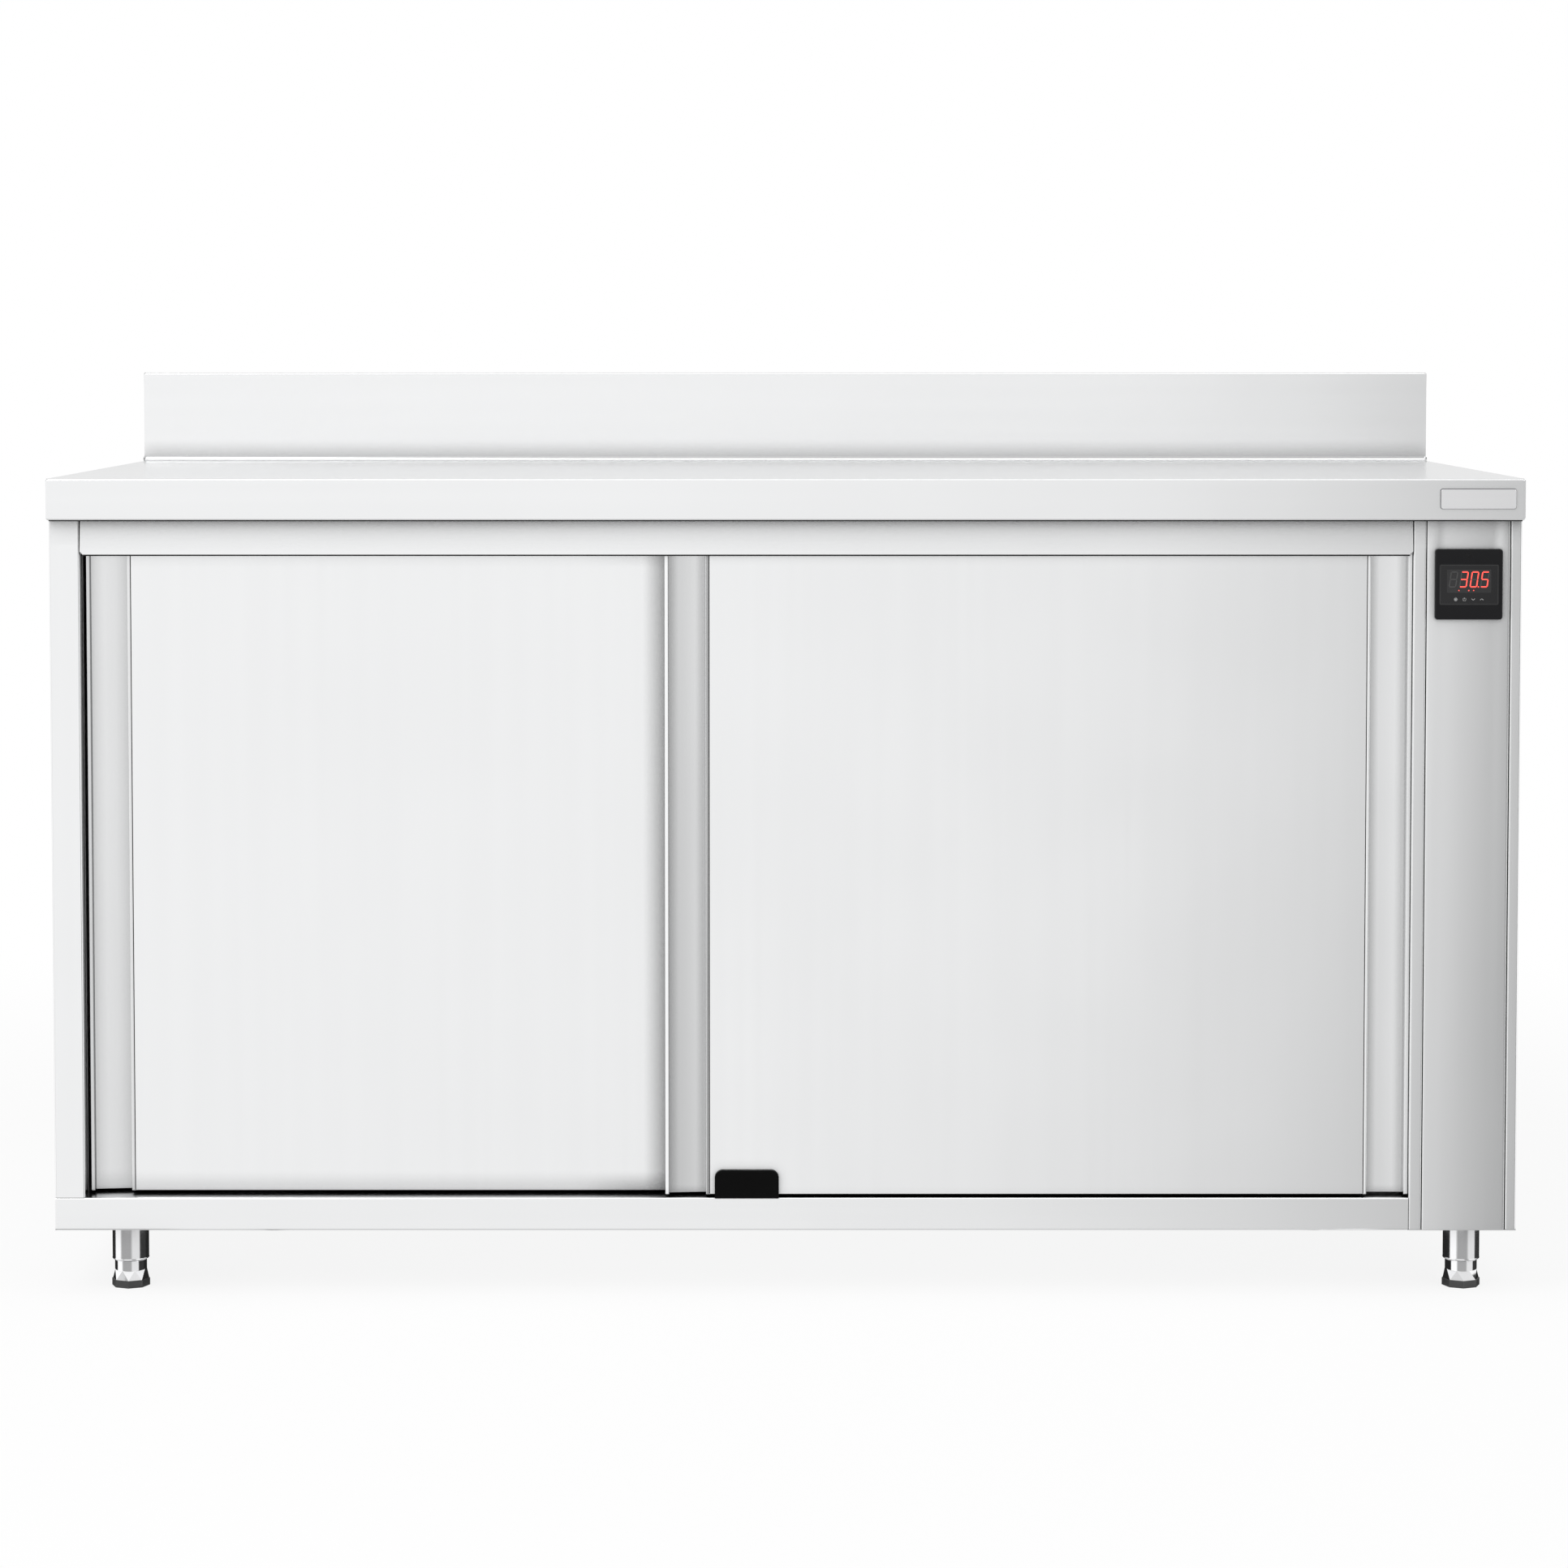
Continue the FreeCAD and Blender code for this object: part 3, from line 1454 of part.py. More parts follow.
def main():
    os.makedirs("parts", exist_ok=True)
    nodes = carcass_nodes()
    nodes.update(door_nodes("left_door", left_door_x, rear_door_y))
    nodes.update(door_nodes("right_door", right_door_x, front_door_y))
    nodes["middle_shelf"] = middle_shelf()
    nodes["fan_impeller"] = fan_impeller()
    nodes["fan_shaft"] = fan_shaft()
    nodes.update(foot_nodes())
    for name, shape in nodes.items():
        shape.exportStep("parts/" + name + ".step")
        print(name, len(shape.Solids), shape.isValid(), round(shape.Volume))
    print("nodes", len(nodes), "door travel", round(door_travel, 3))


main()
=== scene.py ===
import math

import bmesh
import bpy
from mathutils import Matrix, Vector


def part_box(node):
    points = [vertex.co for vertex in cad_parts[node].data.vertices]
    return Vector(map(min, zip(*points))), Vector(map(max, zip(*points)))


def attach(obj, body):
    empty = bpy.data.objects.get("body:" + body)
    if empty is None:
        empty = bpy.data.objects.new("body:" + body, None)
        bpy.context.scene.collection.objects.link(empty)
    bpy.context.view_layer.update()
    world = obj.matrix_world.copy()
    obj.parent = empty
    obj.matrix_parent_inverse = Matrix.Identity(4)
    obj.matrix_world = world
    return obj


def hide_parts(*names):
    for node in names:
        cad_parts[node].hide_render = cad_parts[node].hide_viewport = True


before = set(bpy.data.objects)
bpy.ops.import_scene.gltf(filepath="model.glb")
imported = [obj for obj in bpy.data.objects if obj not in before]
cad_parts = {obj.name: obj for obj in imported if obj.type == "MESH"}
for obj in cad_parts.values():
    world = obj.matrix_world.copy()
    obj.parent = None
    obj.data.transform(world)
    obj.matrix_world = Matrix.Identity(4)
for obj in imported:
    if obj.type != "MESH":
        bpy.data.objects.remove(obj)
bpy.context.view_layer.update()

# Lengths are in metres. X runs to the right, Y to the back and Z up.
MM = 0.001

# Camera, fitted to the photograph's edges: metres, degrees, and millimetres for lens and sensor
CAMERA_PLACE = (-0.0036, -4.7582, 1.0392)
CAMERA_TILT = 3.075
CAMERA_YAW = -0.024
CAMERA_LENS = 93.7
CAMERA_SENSOR = 36.0
CAMERA_SHIFT = -0.14

# Light: what matt surfaces get from all round, and what metal reflects above and below the horizon
AMBIENT = 0.62
STUDIO_DARK = 0.42
STUDIO_LOW = 0.72
LAMP_TARGET = Vector((0.0, 0.0, 0.55))

# Floor: half its width, its colour, the share that shows as plain white near the object, and the
# distances between which that share grows to all of it
FLOOR_HALF = 30.0
FLOOR_COLOUR = 0.9
FLOOR_GLOW = 0.85
FLOOR_GLOW_NEAR = 1.0
FLOOR_GLOW_FAR = 2.6

# Heights and thicknesses that several pieces share
TOP_HEIGHT = 895.0 * MM
LOWER_EDGE = 850.0 * MM
UPSTAND = 12.0 * MM
SHEET = 1.0 * MM


def direction(azimuth, elevation):
    """Unit vector: azimuth 0 is the front (-Y) and 90 the right (+X), in degrees."""
    a = math.radians(azimuth)
    e = math.radians(elevation)
    return Vector((math.sin(a) * math.cos(e), -math.cos(a) * math.cos(e), math.sin(e)))


def foot_centre(name):
    """The point of the floor under a foot's middle."""
    lo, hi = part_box(name + "_foot_pad")
    return Vector(((lo.x + hi.x) / 2, (lo.y + hi.y) / 2, 0.0))


def linked(name, data):
    """A new object in the scene."""
    made = bpy.data.objects.new(name, data)
    bpy.context.scene.collection.objects.link(made)
    return made


# Node helpers


class Graph:
    """A node tree that is written as nested calls."""

    def __init__(self, tree):
        self.tree = tree
        tree.nodes.clear()

    def node(self, kind, inputs=None, **settings):
        made = self.tree.nodes.new("ShaderNode" + kind)
        for name, value in settings.items():
            setattr(made, name, value)
        for name, value in (inputs or {}).items():
            self.feed(made.inputs[name], value)
        return made

    def feed(self, socket, value):
        if isinstance(value, bpy.types.NodeSocket):
            self.tree.links.new(value, socket)
        else:
            socket.default_value = value

    def math(self, operation, a, b=0.0, c=0.0):
        return self.node("Math", {0: a, 1: b, 2: c}, operation=operation).outputs[0]

    def mix(self, factor, a, b):
        return self.node("Mix", {"Factor": factor, "A": a, "B": b}).outputs[0]

    def blend(self, factor, a, b):
        inputs = {0: factor, 6: a, 7: b}
        return self.node("Mix", inputs, data_type="RGBA").outputs[2]

    def grey(self, level):
        return self.node("CombineColor", {0: level, 1: level, 2: level}).outputs[0]

    def dot(self, a, b):
        return self.node("VectorMath", {0: a, 1: b}, operation="DOT_PRODUCT").outputs["Value"]

    def ramp(self, value, low, high, to_low=0.0, to_high=1.0):
        inputs = {"Value": value, 1: low, 2: high, 3: to_low, 4: to_high}
        return self.node("MapRange", inputs, interpolation_type="SMOOTHSTEP").outputs[0]

    def noise(self, vector, scale, detail=2.0, roughness=0.5):
        inputs = {"Vector": vector, "Scale": scale, "Detail": detail, "Roughness": roughness}
        return self.node("TexNoise", inputs).outputs["Fac"]

    def stretched(self, vector, x, y, z):
        return self.node("Mapping", {"Vector": vector, "Scale": (x, y, z)}).outputs[0]


def new_material(name):
    """A node material and its empty graph."""
    material = bpy.data.materials.new(name)
    material.use_nodes = True
    return material, Graph(material.node_tree)


# World, lamps, floor and camera

# Cards round the studio, which metal reflects: azimuth, elevation, the angles
# where the card is full and where it ends, and its brightness.
CARDS = (
    (-9.0, 7.0, 19.0, 34.0, 1.03),
    (27.0, -13.0, 16.0, 20.0, 0.33),
    (27.5, 0.0, 15.5, 19.5, 0.33),
    (180.0, 8.0, 22.0, 45.0, 0.88),
    (-84.0, 4.0, 34.0, 48.0, 1.12),
    (84.0, 6.0, 34.0, 48.0, 1.12),
    (0.0, 62.0, 14.0, 28.0, 1.15),
)

# Lamps: name, azimuth, elevation, distance, size and power
LAMPS = (
    ("key_lamp", -42.0, 38.0, 4.0, (2.4, 2.4), 50.0),
    ("fill_lamp", 52.0, 30.0, 4.5, (2.0, 2.4), 25.0),
    ("top_lamp", 0.0, 78.0, 3.2, (3.2, 1.2), 18.0),
)

# Cards round each front foot: the azimuths where the card starts and ends, and its brightness
FOOT_CARDS = (
    (-250.0, -100.0, 0.02),
    (-100.0, -96.0, 0.25),
    (-96.0, -55.0, 1.15),
    (-55.0, -49.0, 0.75),
    (-49.0, 10.0, 0.42),
    (10.0, 16.0, 0.62),
    (16.0, 62.0, 0.85),
    (62.0, 66.0, 0.3),
    (66.0, 110.0, 0.04),
)
FOOT_CARD_TURNS = (("front_left", 0.0), ("front_right", 18.0))
FOOT_CARD_STEP = 10.0
FOOT_CARD_RADIUS = 0.16
FOOT_CARD_BOTTOM = -0.06
FOOT_CARD_TOP = 0.04


def build_world():
    """A grey studio with cards for metal, an even level for matt surfaces, and white behind all."""
    world = bpy.data.worlds.new("studio")
    bpy.context.scene.world = world
    world.use_nodes = True
    g = Graph(world.node_tree)
    toward = g.node("TexCoord").outputs["Generated"]
    height = g.node("SeparateXYZ", {"Vector": toward}).outputs["Z"]
    level = g.ramp(height, -0.25, 0.0, STUDIO_LOW, STUDIO_DARK)
    for azimuth, elevation, full, end, brightness in CARDS:
        near = g.dot(toward, direction(azimuth, elevation))
        mask = g.ramp(near, math.cos(math.radians(end)), math.cos(math.radians(full)))
        level = g.mix(mask, level, brightness)
    path = g.node("LightPath").outputs
    level = g.mix(path["Is Glossy Ray"], AMBIENT, level)
    seen = g.math("MAXIMUM", path["Is Camera Ray"], path["Is Transmission Ray"])
    level = g.mix(seen, level, 1.0)
    background = g.node("Background", {"Color": g.grey(level)})
    g.node("OutputWorld", {"Surface": background.outputs[0]})


def build_lamp(name, azimuth, elevation, distance, size, power):
    lamp = bpy.data.lights.new(name, "AREA")
    lamp.shape = "RECTANGLE"
    lamp.size, lamp.size_y = size
    lamp.energy = power
    holder = linked(name, lamp)
    holder.location = LAMP_TARGET + direction(azimuth, elevation) * distance
    holder.rotation_euler = (LAMP_TARGET - holder.location).to_track_quat("-Z", "Y").to_euler()


def build_floor():
    """A pale floor with the object's shadow on it, which turns plain white further out."""
    half = FLOOR_HALF
    mesh = bpy.data.meshes.new("floor")
    corners = [(-half, -half, 0), (half, -half, 0), (half, half, 0), (-half, half, 0)]
    mesh.from_pydata(corners, [], [(0, 1, 2, 3)])
    floor = linked("floor", mesh)
    material, g = new_material("floor_paper")
    place = g.node("TexCoord").outputs["Object"]
    away = g.node("VectorMath", {0: place}, operation="LENGTH").outputs["Value"]
    speck = g.noise(place, 40.0, 4.0)
    shade = g.math("MULTIPLY_ADD", speck, 0.02, FLOOR_COLOUR - 0.01)
    paper = g.node("BsdfDiffuse", {"Color": g.grey(shade)}).outputs[0]
    glow = g.node("Emission", {"Color": (1, 1, 1, 1), "Strength": 1.0}).outputs[0]
    path = g.node("LightPath").outputs
    seen = g.math("MAXIMUM", path["Is Camera Ray"], path["Is Transmission Ray"])
    share = g.ramp(away, FLOOR_GLOW_NEAR, FLOOR_GLOW_FAR, FLOOR_GLOW, 1.0)
    factor = g.math("MULTIPLY", seen, share)
    surface = g.node("MixShader", {0: factor, 1: paper, 2: glow}).outputs[0]
    g.node("OutputMaterial", {"Surface": surface})
    mesh.materials.append(material)
    floor.visible_glossy = False


def build_foot_card(name, middle, turn, start, end, brightness):
    """A low curved strip of light round a foot, which only metal reflects."""
    steps = max(1, int((end - start) / FOOT_CARD_STEP))
    corners = []
    for i in range(steps + 1):
        azimuth = start + turn + (end - start) * i / steps
        away = middle + direction(azimuth, 0.0) * FOOT_CARD_RADIUS
        corners += [(away.x, away.y, FOOT_CARD_BOTTOM), (away.x, away.y, FOOT_CARD_TOP)]
    faces = [(2 * i, 2 * i + 2, 2 * i + 3, 2 * i + 1) for i in range(steps)]
    mesh = bpy.data.meshes.new(name)
    mesh.from_pydata(corners, [], faces)
    card = linked(name, mesh)
    material, g = new_material(name)
    colour = (brightness, brightness, brightness, 1.0)
    light = g.node("Emission", {"Color": colour}).outputs[0]
    g.node("OutputMaterial", {"Surface": light})
    mesh.materials.append(material)
    card.visible_camera = False
    card.visible_diffuse = False
    card.visible_shadow = False
    card.visible_transmission = False


def build_camera():
    data = bpy.data.cameras.new("camera")
    data.sensor_width = CAMERA_SENSOR
    data.lens = CAMERA_LENS
    data.shift_y = CAMERA_SHIFT
    camera = linked("camera", data)
    camera.location = CAMERA_PLACE
    tilt = math.radians(90.0 - CAMERA_TILT)
    camera.rotation_euler = (tilt, 0.0, math.radians(CAMERA_YAW))
    bpy.context.scene.camera = camera


build_world()
for lamp_facts in LAMPS:
    build_lamp(*lamp_facts)
build_floor()
for foot_name, foot_turn in FOOT_CARD_TURNS:
    for card_number, card_facts in enumerate(FOOT_CARDS):
        card_name = f"{foot_name}_card_{card_number}"
        build_foot_card(card_name, foot_centre(foot_name), foot_turn, *card_facts)
build_camera()
bpy.context.scene.view_settings.view_transform = "Standard"


# Materials

STEEL = (0.86, 0.865, 0.87)
POLISHED = (0.97, 0.97, 0.97, 1.0)

# How fine the brush lines' noise is along the lines and across them
BRUSH_ALONG = 5.0
BRUSH_ACROSS = 1400.0

# How far the worn edges reach, in metres
METAL_EDGE = 0.0012
MOULDED_EDGE = 0.0008


def varied(colour, spread):
    """A colour's darker and lighter variant."""
    dark = tuple(c * (1.0 - spread) for c in colour) + (1.0,)
    light = tuple(min(1.0, c * (1.0 + spread)) for c in colour) + (1.0,)
    return dark, light


def edge_mask(g, radius):
    """1 along the piece's edges and 0 on its faces."""
    rounded_normal = g.node("Bevel", {"Radius": radius}, samples=3).outputs[0]
    normal = g.node("NewGeometry").outputs["Normal"]
    return g.ramp(g.dot(rounded_normal, normal), 0.999, 0.9)


def brushed_metal(
    name, colour, roughness, grain, spread=0.008, shade=0.6, reach=0.028, clear=0.95, deepen=None,
):
    """Metal with brush lines along one axis, faint wiping marks, a soft colour drift,
    polished edges and painted shade: its colour darkens where ambient occlusion finds
    surfaces close by, in corners, recesses and under overhangs. Deepen gives two places
    on X between which the painted shade grows, and the most that it reaches."""
    material, g = new_material(name)
    place = g.node("TexCoord").outputs["Object"]
    lengths = [BRUSH_ALONG if axis == grain else BRUSH_ACROSS for axis in "XYZ"]
    lines = g.noise(g.stretched(place, *lengths), 1.0, 3.0, 0.6)
    streaks = g.noise(g.stretched(place, *[0.05 * v + 0.6 for v in lengths]), 1.0, 2.0)
    drift = g.noise(place, 2.3, 3.0)
    wipes = g.noise(place, 4.0, 2.0)
    tone = g.math("MULTIPLY_ADD", drift, 0.5, g.math("MULTIPLY", streaks, 0.5))
    dark, light = varied(colour, spread)
    base = g.blend(g.ramp(tone, 0.35, 0.65), dark, light)
    edge = edge_mask(g, METAL_EDGE)
    base = g.blend(g.math("MULTIPLY", edge, 0.5), base, POLISHED)
    # Painted shade: ambient occlusion scales the colour down, at most by the share shade.
    around = g.node("AmbientOcclusion", {"Distance": reach}, samples=3).outputs["AO"]
    darkest = 1.0 - shade
    if deepen:
        across = g.node("SeparateXYZ", {"Vector": place}).outputs["X"]
        darkest = g.ramp(across, deepen[0], deepen[1], darkest, 1.0 - deepen[2])
    open_share = g.ramp(around, 0.45, clear, darkest, 1.0)
    base = g.node("VectorMath", {0: base, "Scale": open_share}, operation="SCALE").outputs[0]
    rough = g.math("MULTIPLY_ADD", g.ramp(wipes, 0.3, 0.7), 0.02, roughness - 0.02)
    rough = g.math("MULTIPLY_ADD", lines, 0.03, rough)
    rough = g.math("MULTIPLY_ADD", edge, -0.04, rough)
    bump = g.node("Bump", {"Height": lines, "Strength": 0.05, "Distance": 0.00003})
    shader = g.node(
        "BsdfPrincipled",
        {"Base Color": base, "Metallic": 1.0, "Roughness": rough, "Normal": bump.outputs[0]},
    )
    g.node("OutputMaterial", {"Surface": shader.outputs[0]})
    return material


def moulded(
    name, colour, roughness, grain_size=900.0, depth=0.00003, metallic=0.0, spread=0.12, wear=0.05,
    gloss=0.5,
):
    """Plastic, rubber or cast metal: fine surface grain, a slight mottle and rubbed edges."""
    material, g = new_material(name)
    place = g.node("TexCoord").outputs["Object"]
    grain = g.noise(place, grain_size, 3.0, 0.6)
    mottle = g.noise(place, 18.0, 4.0, 0.6)
    dark, light = varied(colour, spread)
    base = g.blend(g.ramp(mottle, 0.3, 0.7), dark, light)
    rubbed = tuple(min(1.0, c + wear) for c in colour) + (1.0,)
    edge = g.math("MULTIPLY", edge_mask(g, MOULDED_EDGE), g.ramp(mottle, 0.25, 0.6))
    base = g.blend(edge, base, rubbed)
    rough = g.math("MULTIPLY_ADD", mottle, 0.1, roughness - 0.05)
    bump = g.node("Bump", {"Height": grain, "Strength": 0.5, "Distance": depth})
    shader = g.node(
        "BsdfPrincipled",
        {
            "Base Color": base, "Metallic": metallic, "Roughness": rough,
            "Specular IOR Level": gloss, "Normal": bump.outputs[0],
        },
    )
    g.node("OutputMaterial", {"Surface": shader.outputs[0]})
    return material


def glowing(name, colour, strength):
    """A lit display segment whose light varies a little."""
    material, g = new_material(name)
    place = g.node("TexCoord").outputs["Object"]
    drift = g.noise(place, 150.0, 2.0)
    level = g.math("MULTIPLY_ADD", drift, 0.3, strength - 0.15)
    shader = g.node(
        "BsdfPrincipled",
        {
            "Base Color": tuple(c * 0.5 for c in colour) + (1.0,),
            "Roughness": 0.3,
            "Emission Color": colour + (1.0,),
            "Emission Strength": level,
        },
    )
    g.node("OutputMaterial", {"Surface": shader.outputs[0]})
    return material


# The first 17 are named after the slots of the record, and the rest are for single pieces.
# Each brushed metal below darkens its colour with painted shade in its corners; shade sets how
# much.
finishes = {
    "outer_stainless": brushed_metal("outer_stainless_x", STEEL, 0.2, "X"),
    "door_stainless": brushed_metal("door_stainless_z", STEEL, 0.2, "Z", shade=0.55, reach=0.012),
    "inner_stainless": brushed_metal("inner_stainless", (0.8, 0.8, 0.8), 0.3, "X", shade=0.5),
    "insulation": moulded("mineral_wool", (0.55, 0.48, 0.25), 0.95, 250.0, 0.001, spread=0.3),
    "door_gear_steel": moulded("zinc_plate", (0.72, 0.74, 0.76), 0.38, 400.0, 0.00002, 1.0, 0.08),
    "rubber": moulded("rubber_black", (0.02, 0.02, 0.02), 0.7),
    "black_plastic": moulded(
        "plastic_black", (0.0025, 0.0025, 0.0025), 0.5, wear=0.005, gloss=0.06,
    ),
    "gloss_black": moulded("bezel_black", (0.006, 0.006, 0.007), 0.5, wear=0.02, gloss=0.2),
    "window": moulded("window_gloss", (0.004, 0.004, 0.005), 0.16, 60.0, 0.000002, wear=0.02),
    "motor_metal": moulded("motor_cast", (0.45, 0.46, 0.47), 0.5, 500.0, 0.0001, 1.0),
    "heater_steel": moulded("heater_oxide", (0.2, 0.17, 0.15), 0.45, 300.0, 0.00005, 1.0, 0.3),
    "terminal_plastic": moulded("terminal_cream", (0.75, 0.7, 0.58), 0.5),
    "leg_steel": brushed_metal("leg_steel", (0.86, 0.86, 0.87), 0.13, "Z", shade=0.3),
    "leg_bushing": moulded("bushing_black", (0.02, 0.02, 0.02), 0.5),
    "roller_nylon": moulded("roller_nylon", (0.78, 0.77, 0.72), 0.45),
    "fan_aluminium": moulded("fan_mill", (0.75, 0.76, 0.77), 0.4, 600.0, 0.00003, 1.0, 0.06),
    "foot_chrome": brushed_metal("foot_chrome", (0.9, 0.9, 0.91), 0.07, "Z", 0.02, 0.2, 0.01),
    # Painted shadow: the uprights and the top fascia take stronger painted shade, so that they
    # darken below the worktop's overhang.
    "upright_stainless": brushed_metal(
        "outer_stainless_z", STEEL, 0.2, "Z", shade=0.75, clear=1.0,
    ),
    "fascia_stainless": brushed_metal(
        "fascia_stainless_x", STEEL, 0.2, "X", shade=0.88, reach=0.034, clear=1.0,
    ),
    # Painted shadow: the rear door's painted shade grows towards its right end, where the front
    # door stands in front of it.
    "rear_door_stainless": brushed_metal(
        "rear_door_z", STEEL, 0.2, "Z", shade=0.4, reach=0.026, deepen=(-0.24, -0.15, 0.88),
    ),
    "badge": brushed_metal("badge_satin", (0.96, 0.96, 0.97), 0.3, "X", shade=0.3, reach=0.002),
    # Painted shadow: the dark strips under the worktop's fold, behind the fascia's lower edge and
    # in the doors' seams.
    "shadow_strip": moulded("shadow_strip_black", (0.012, 0.012, 0.012), 0.6, wear=0.01, gloss=0.2),
    # Painted shade: the dark rim round the badge.
    "badge_shade_edge": moulded("badge_shade_edge", (0.11, 0.11, 0.12), 0.4),
    "foot_rubber": moulded("foot_rubber", (0.055, 0.055, 0.055), 0.45, spread=0.2),
    "display_red": glowing("display_red", (1.0, 0.08, 0.06), 1.6),
    "display_ghost": moulded("display_ghost", (0.05, 0.05, 0.05), 0.3),
    "display_print": moulded("display_print", (0.5, 0.5, 0.5), 0.5),
    "display_panel": moulded("display_panel", (0.02, 0.02, 0.021), 0.25, 80.0, 0.000002),
}

# Nodes whose outer steel has its brush lines upwards
UPRIGHT_NODES = (
    "left_side_panel", "right_side_panel", "partition_panel", "control_panel_front", "back_panel",
    "air_duct_wall", "chamber_left_liner", "chamber_back_liner", "shelf_standards",
)

# Nodes that keep their CAD shape and get small rounds on their edges
SOFT_NODES = (
    "left_side_panel", "right_side_panel", "base_tray", "partition_panel",
    "controller_bezel", "bottom_door_guide", "back_panel",
)
SOFT_WIDTH = 0.3 * MM
SOFT_ANGLE = 40.0


# Mesh helpers


def section_point(u, v, axis, at):
    """Point of a section drawn square to an axis: (Y, Z), (X, Z) or (X, Y)."""
    return {"X": (at, u, v), "Y": (u, at, v), "Z": (u, v, at)}[axis]


def fillet(before, corner, after, radius, steps):
    """Points of the arc that rounds a corner of a drawn line."""
    corner = Vector(corner)
    into = (corner - Vector(before)).normalized()
    out = (Vector(after) - corner).normalized()
    half = into.angle_signed(out, 0.0) / 2
    if abs(half) < 0.001:
        return [corner]
    reach = radius * math.tan(abs(half))
    start = corner - into * reach
    end = corner + out * reach
    middle = corner + (out - into).normalized() * (radius / math.cos(half))
    first = start - middle
    last = end - middle
    sweep = first.angle_signed(last, 0.0)
    points = []
    for i in range(steps + 1):
        a = -sweep * i / steps
        turned = Vector((
            first.x * math.cos(a) - first.y * math.sin(a),
            first.x * math.sin(a) + first.y * math.cos(a),
        ))
        points.append(middle + turned)
    return points


def rounded(points, closed=False, steps=5):
    """A drawn line of (u, v) or (u, v, radius) points, with its corners rounded."""
    path = []
    count = len(points)
    for i, point in enumerate(points):
        corner = Vector(point[:2])
        inside = closed or 0 < i < count - 1
        if len(point) < 3 or not inside:
            path.append(corner)
            continue
        before = points[i - 1][:2]
        after = points[(i + 1) % count][:2]
        path.extend(fillet(before, corner, after, point[2], steps))
    return path


def rectangle(u0, u1, v0, v1, radius):
    return [(u0, v0, radius), (u1, v0, radius), (u1, v1, radius), (u0, v1, radius)]


def finished(name, bm, body, slot, material=None, replaces=(), smooth=30.0):
    """The mesh as a piece on a body, with flat faces kept flat and rounds kept smooth."""
    bmesh.ops.remove_doubles(bm, verts=bm.verts, dist=0.000002)
    bmesh.ops.recalc_face_normals(bm, faces=bm.faces)
    mesh = bpy.data.meshes.new(name)
    bm.to_mesh(mesh)
    bm.free()
    mesh.shade_smooth()
    mesh.set_sharp_from_angle(angle=math.radians(smooth))
    piece = linked(name, mesh)
    mesh.materials.append(material or finishes[slot])
    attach(piece, body)
    if replaces:
        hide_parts(*replaces)
    return piece


def weighted(piece):
    """Shading that follows the large faces, so that a round blends into its flats."""
    normals = piece.modifiers.new("normals", "WEIGHTED_NORMAL")
    normals.keep_sharp = True
    normals.weight = 100


def sheeted(piece):
    """Gives an open surface the sheet's thickness, inwards."""
    wall = piece.modifiers.new("sheet", "SOLIDIFY")
    wall.thickness = SHEET
    wall.offset = -1.0
    weighted(piece)


def prism(bm, outline, axis, start, end, edge=0.0, back_edge=0.0, steps=3):
    """Adds a solid of one outline, its rims rounded at the start and at the end."""
    rings = []
    for at in (start, end):
        rings.append([bm.verts.new(section_point(p[0], p[1], axis, at)) for p in outline])
    caps = [bm.faces.new(ring) for ring in rings]
    count = len(outline)
    for i in range(count):
        j = (i + 1) % count
        bm.faces.new((rings[0][i], rings[0][j], rings[1][j], rings[1][i]))
    for cap, width in zip(caps, (edge, back_edge)):
        if width > 0:
            bmesh.ops.bevel(
                bm, geom=list(cap.edges), offset=width, segments=steps,
                profile=0.5, affect="EDGES",
            )


def lathe(bm, profile, centre, axis, segments):
    """Adds a turned shape from (radius, height) points; open at the ends unless the radius is 0."""
    rings = []
    for radius, height in profile:
        if radius <= 0:
            rings.append([bm.verts.new(centre + spin(0.0, 0.0, height, axis))])
            continue
        ring = []
        for i in range(segments):
            a = 2 * math.pi * i / segments
            spot = spin(radius * math.cos(a), radius * math.sin(a), height, axis)
            ring.append(bm.verts.new(centre + spot))
        rings.append(ring)
    for low, high in zip(rings, rings[1:]):
        for i in range(segments):
            j = (i + 1) % segments
            if len(low) == 1:
                bm.faces.new((low[0], high[j], high[i]))
            elif len(high) == 1:
                bm.faces.new((low[i], low[j], high[0]))
            else:
                bm.faces.new((low[i], low[j], high[j], high[i]))


def spin(u, v, height, axis):
    """A local point with its height along an axis, given as a signed letter such as -Y."""
    sign = -1.0 if axis.startswith("-") else 1.0
    if axis.endswith("X"):
        return Vector((height * sign, u, v))
    if axis.endswith("Y"):
        return Vector((u, height * sign, v))
    return Vector((u, v, height * sign))


SCREW_SIDES = 24
SCREW_RISE = 0.55
# From rim to crown, then down the hexagon socket: share of the radius, share of the rise, hexagonal
SCREW_PROFILE = (
    (1.0, 0.0, False), (1.0, 0.25, False), (0.9, 0.65, False), (0.68, 0.92, False),
    (0.5, 1.0, False), (0.46, 1.0, True), (0.42, 0.35, True),
)


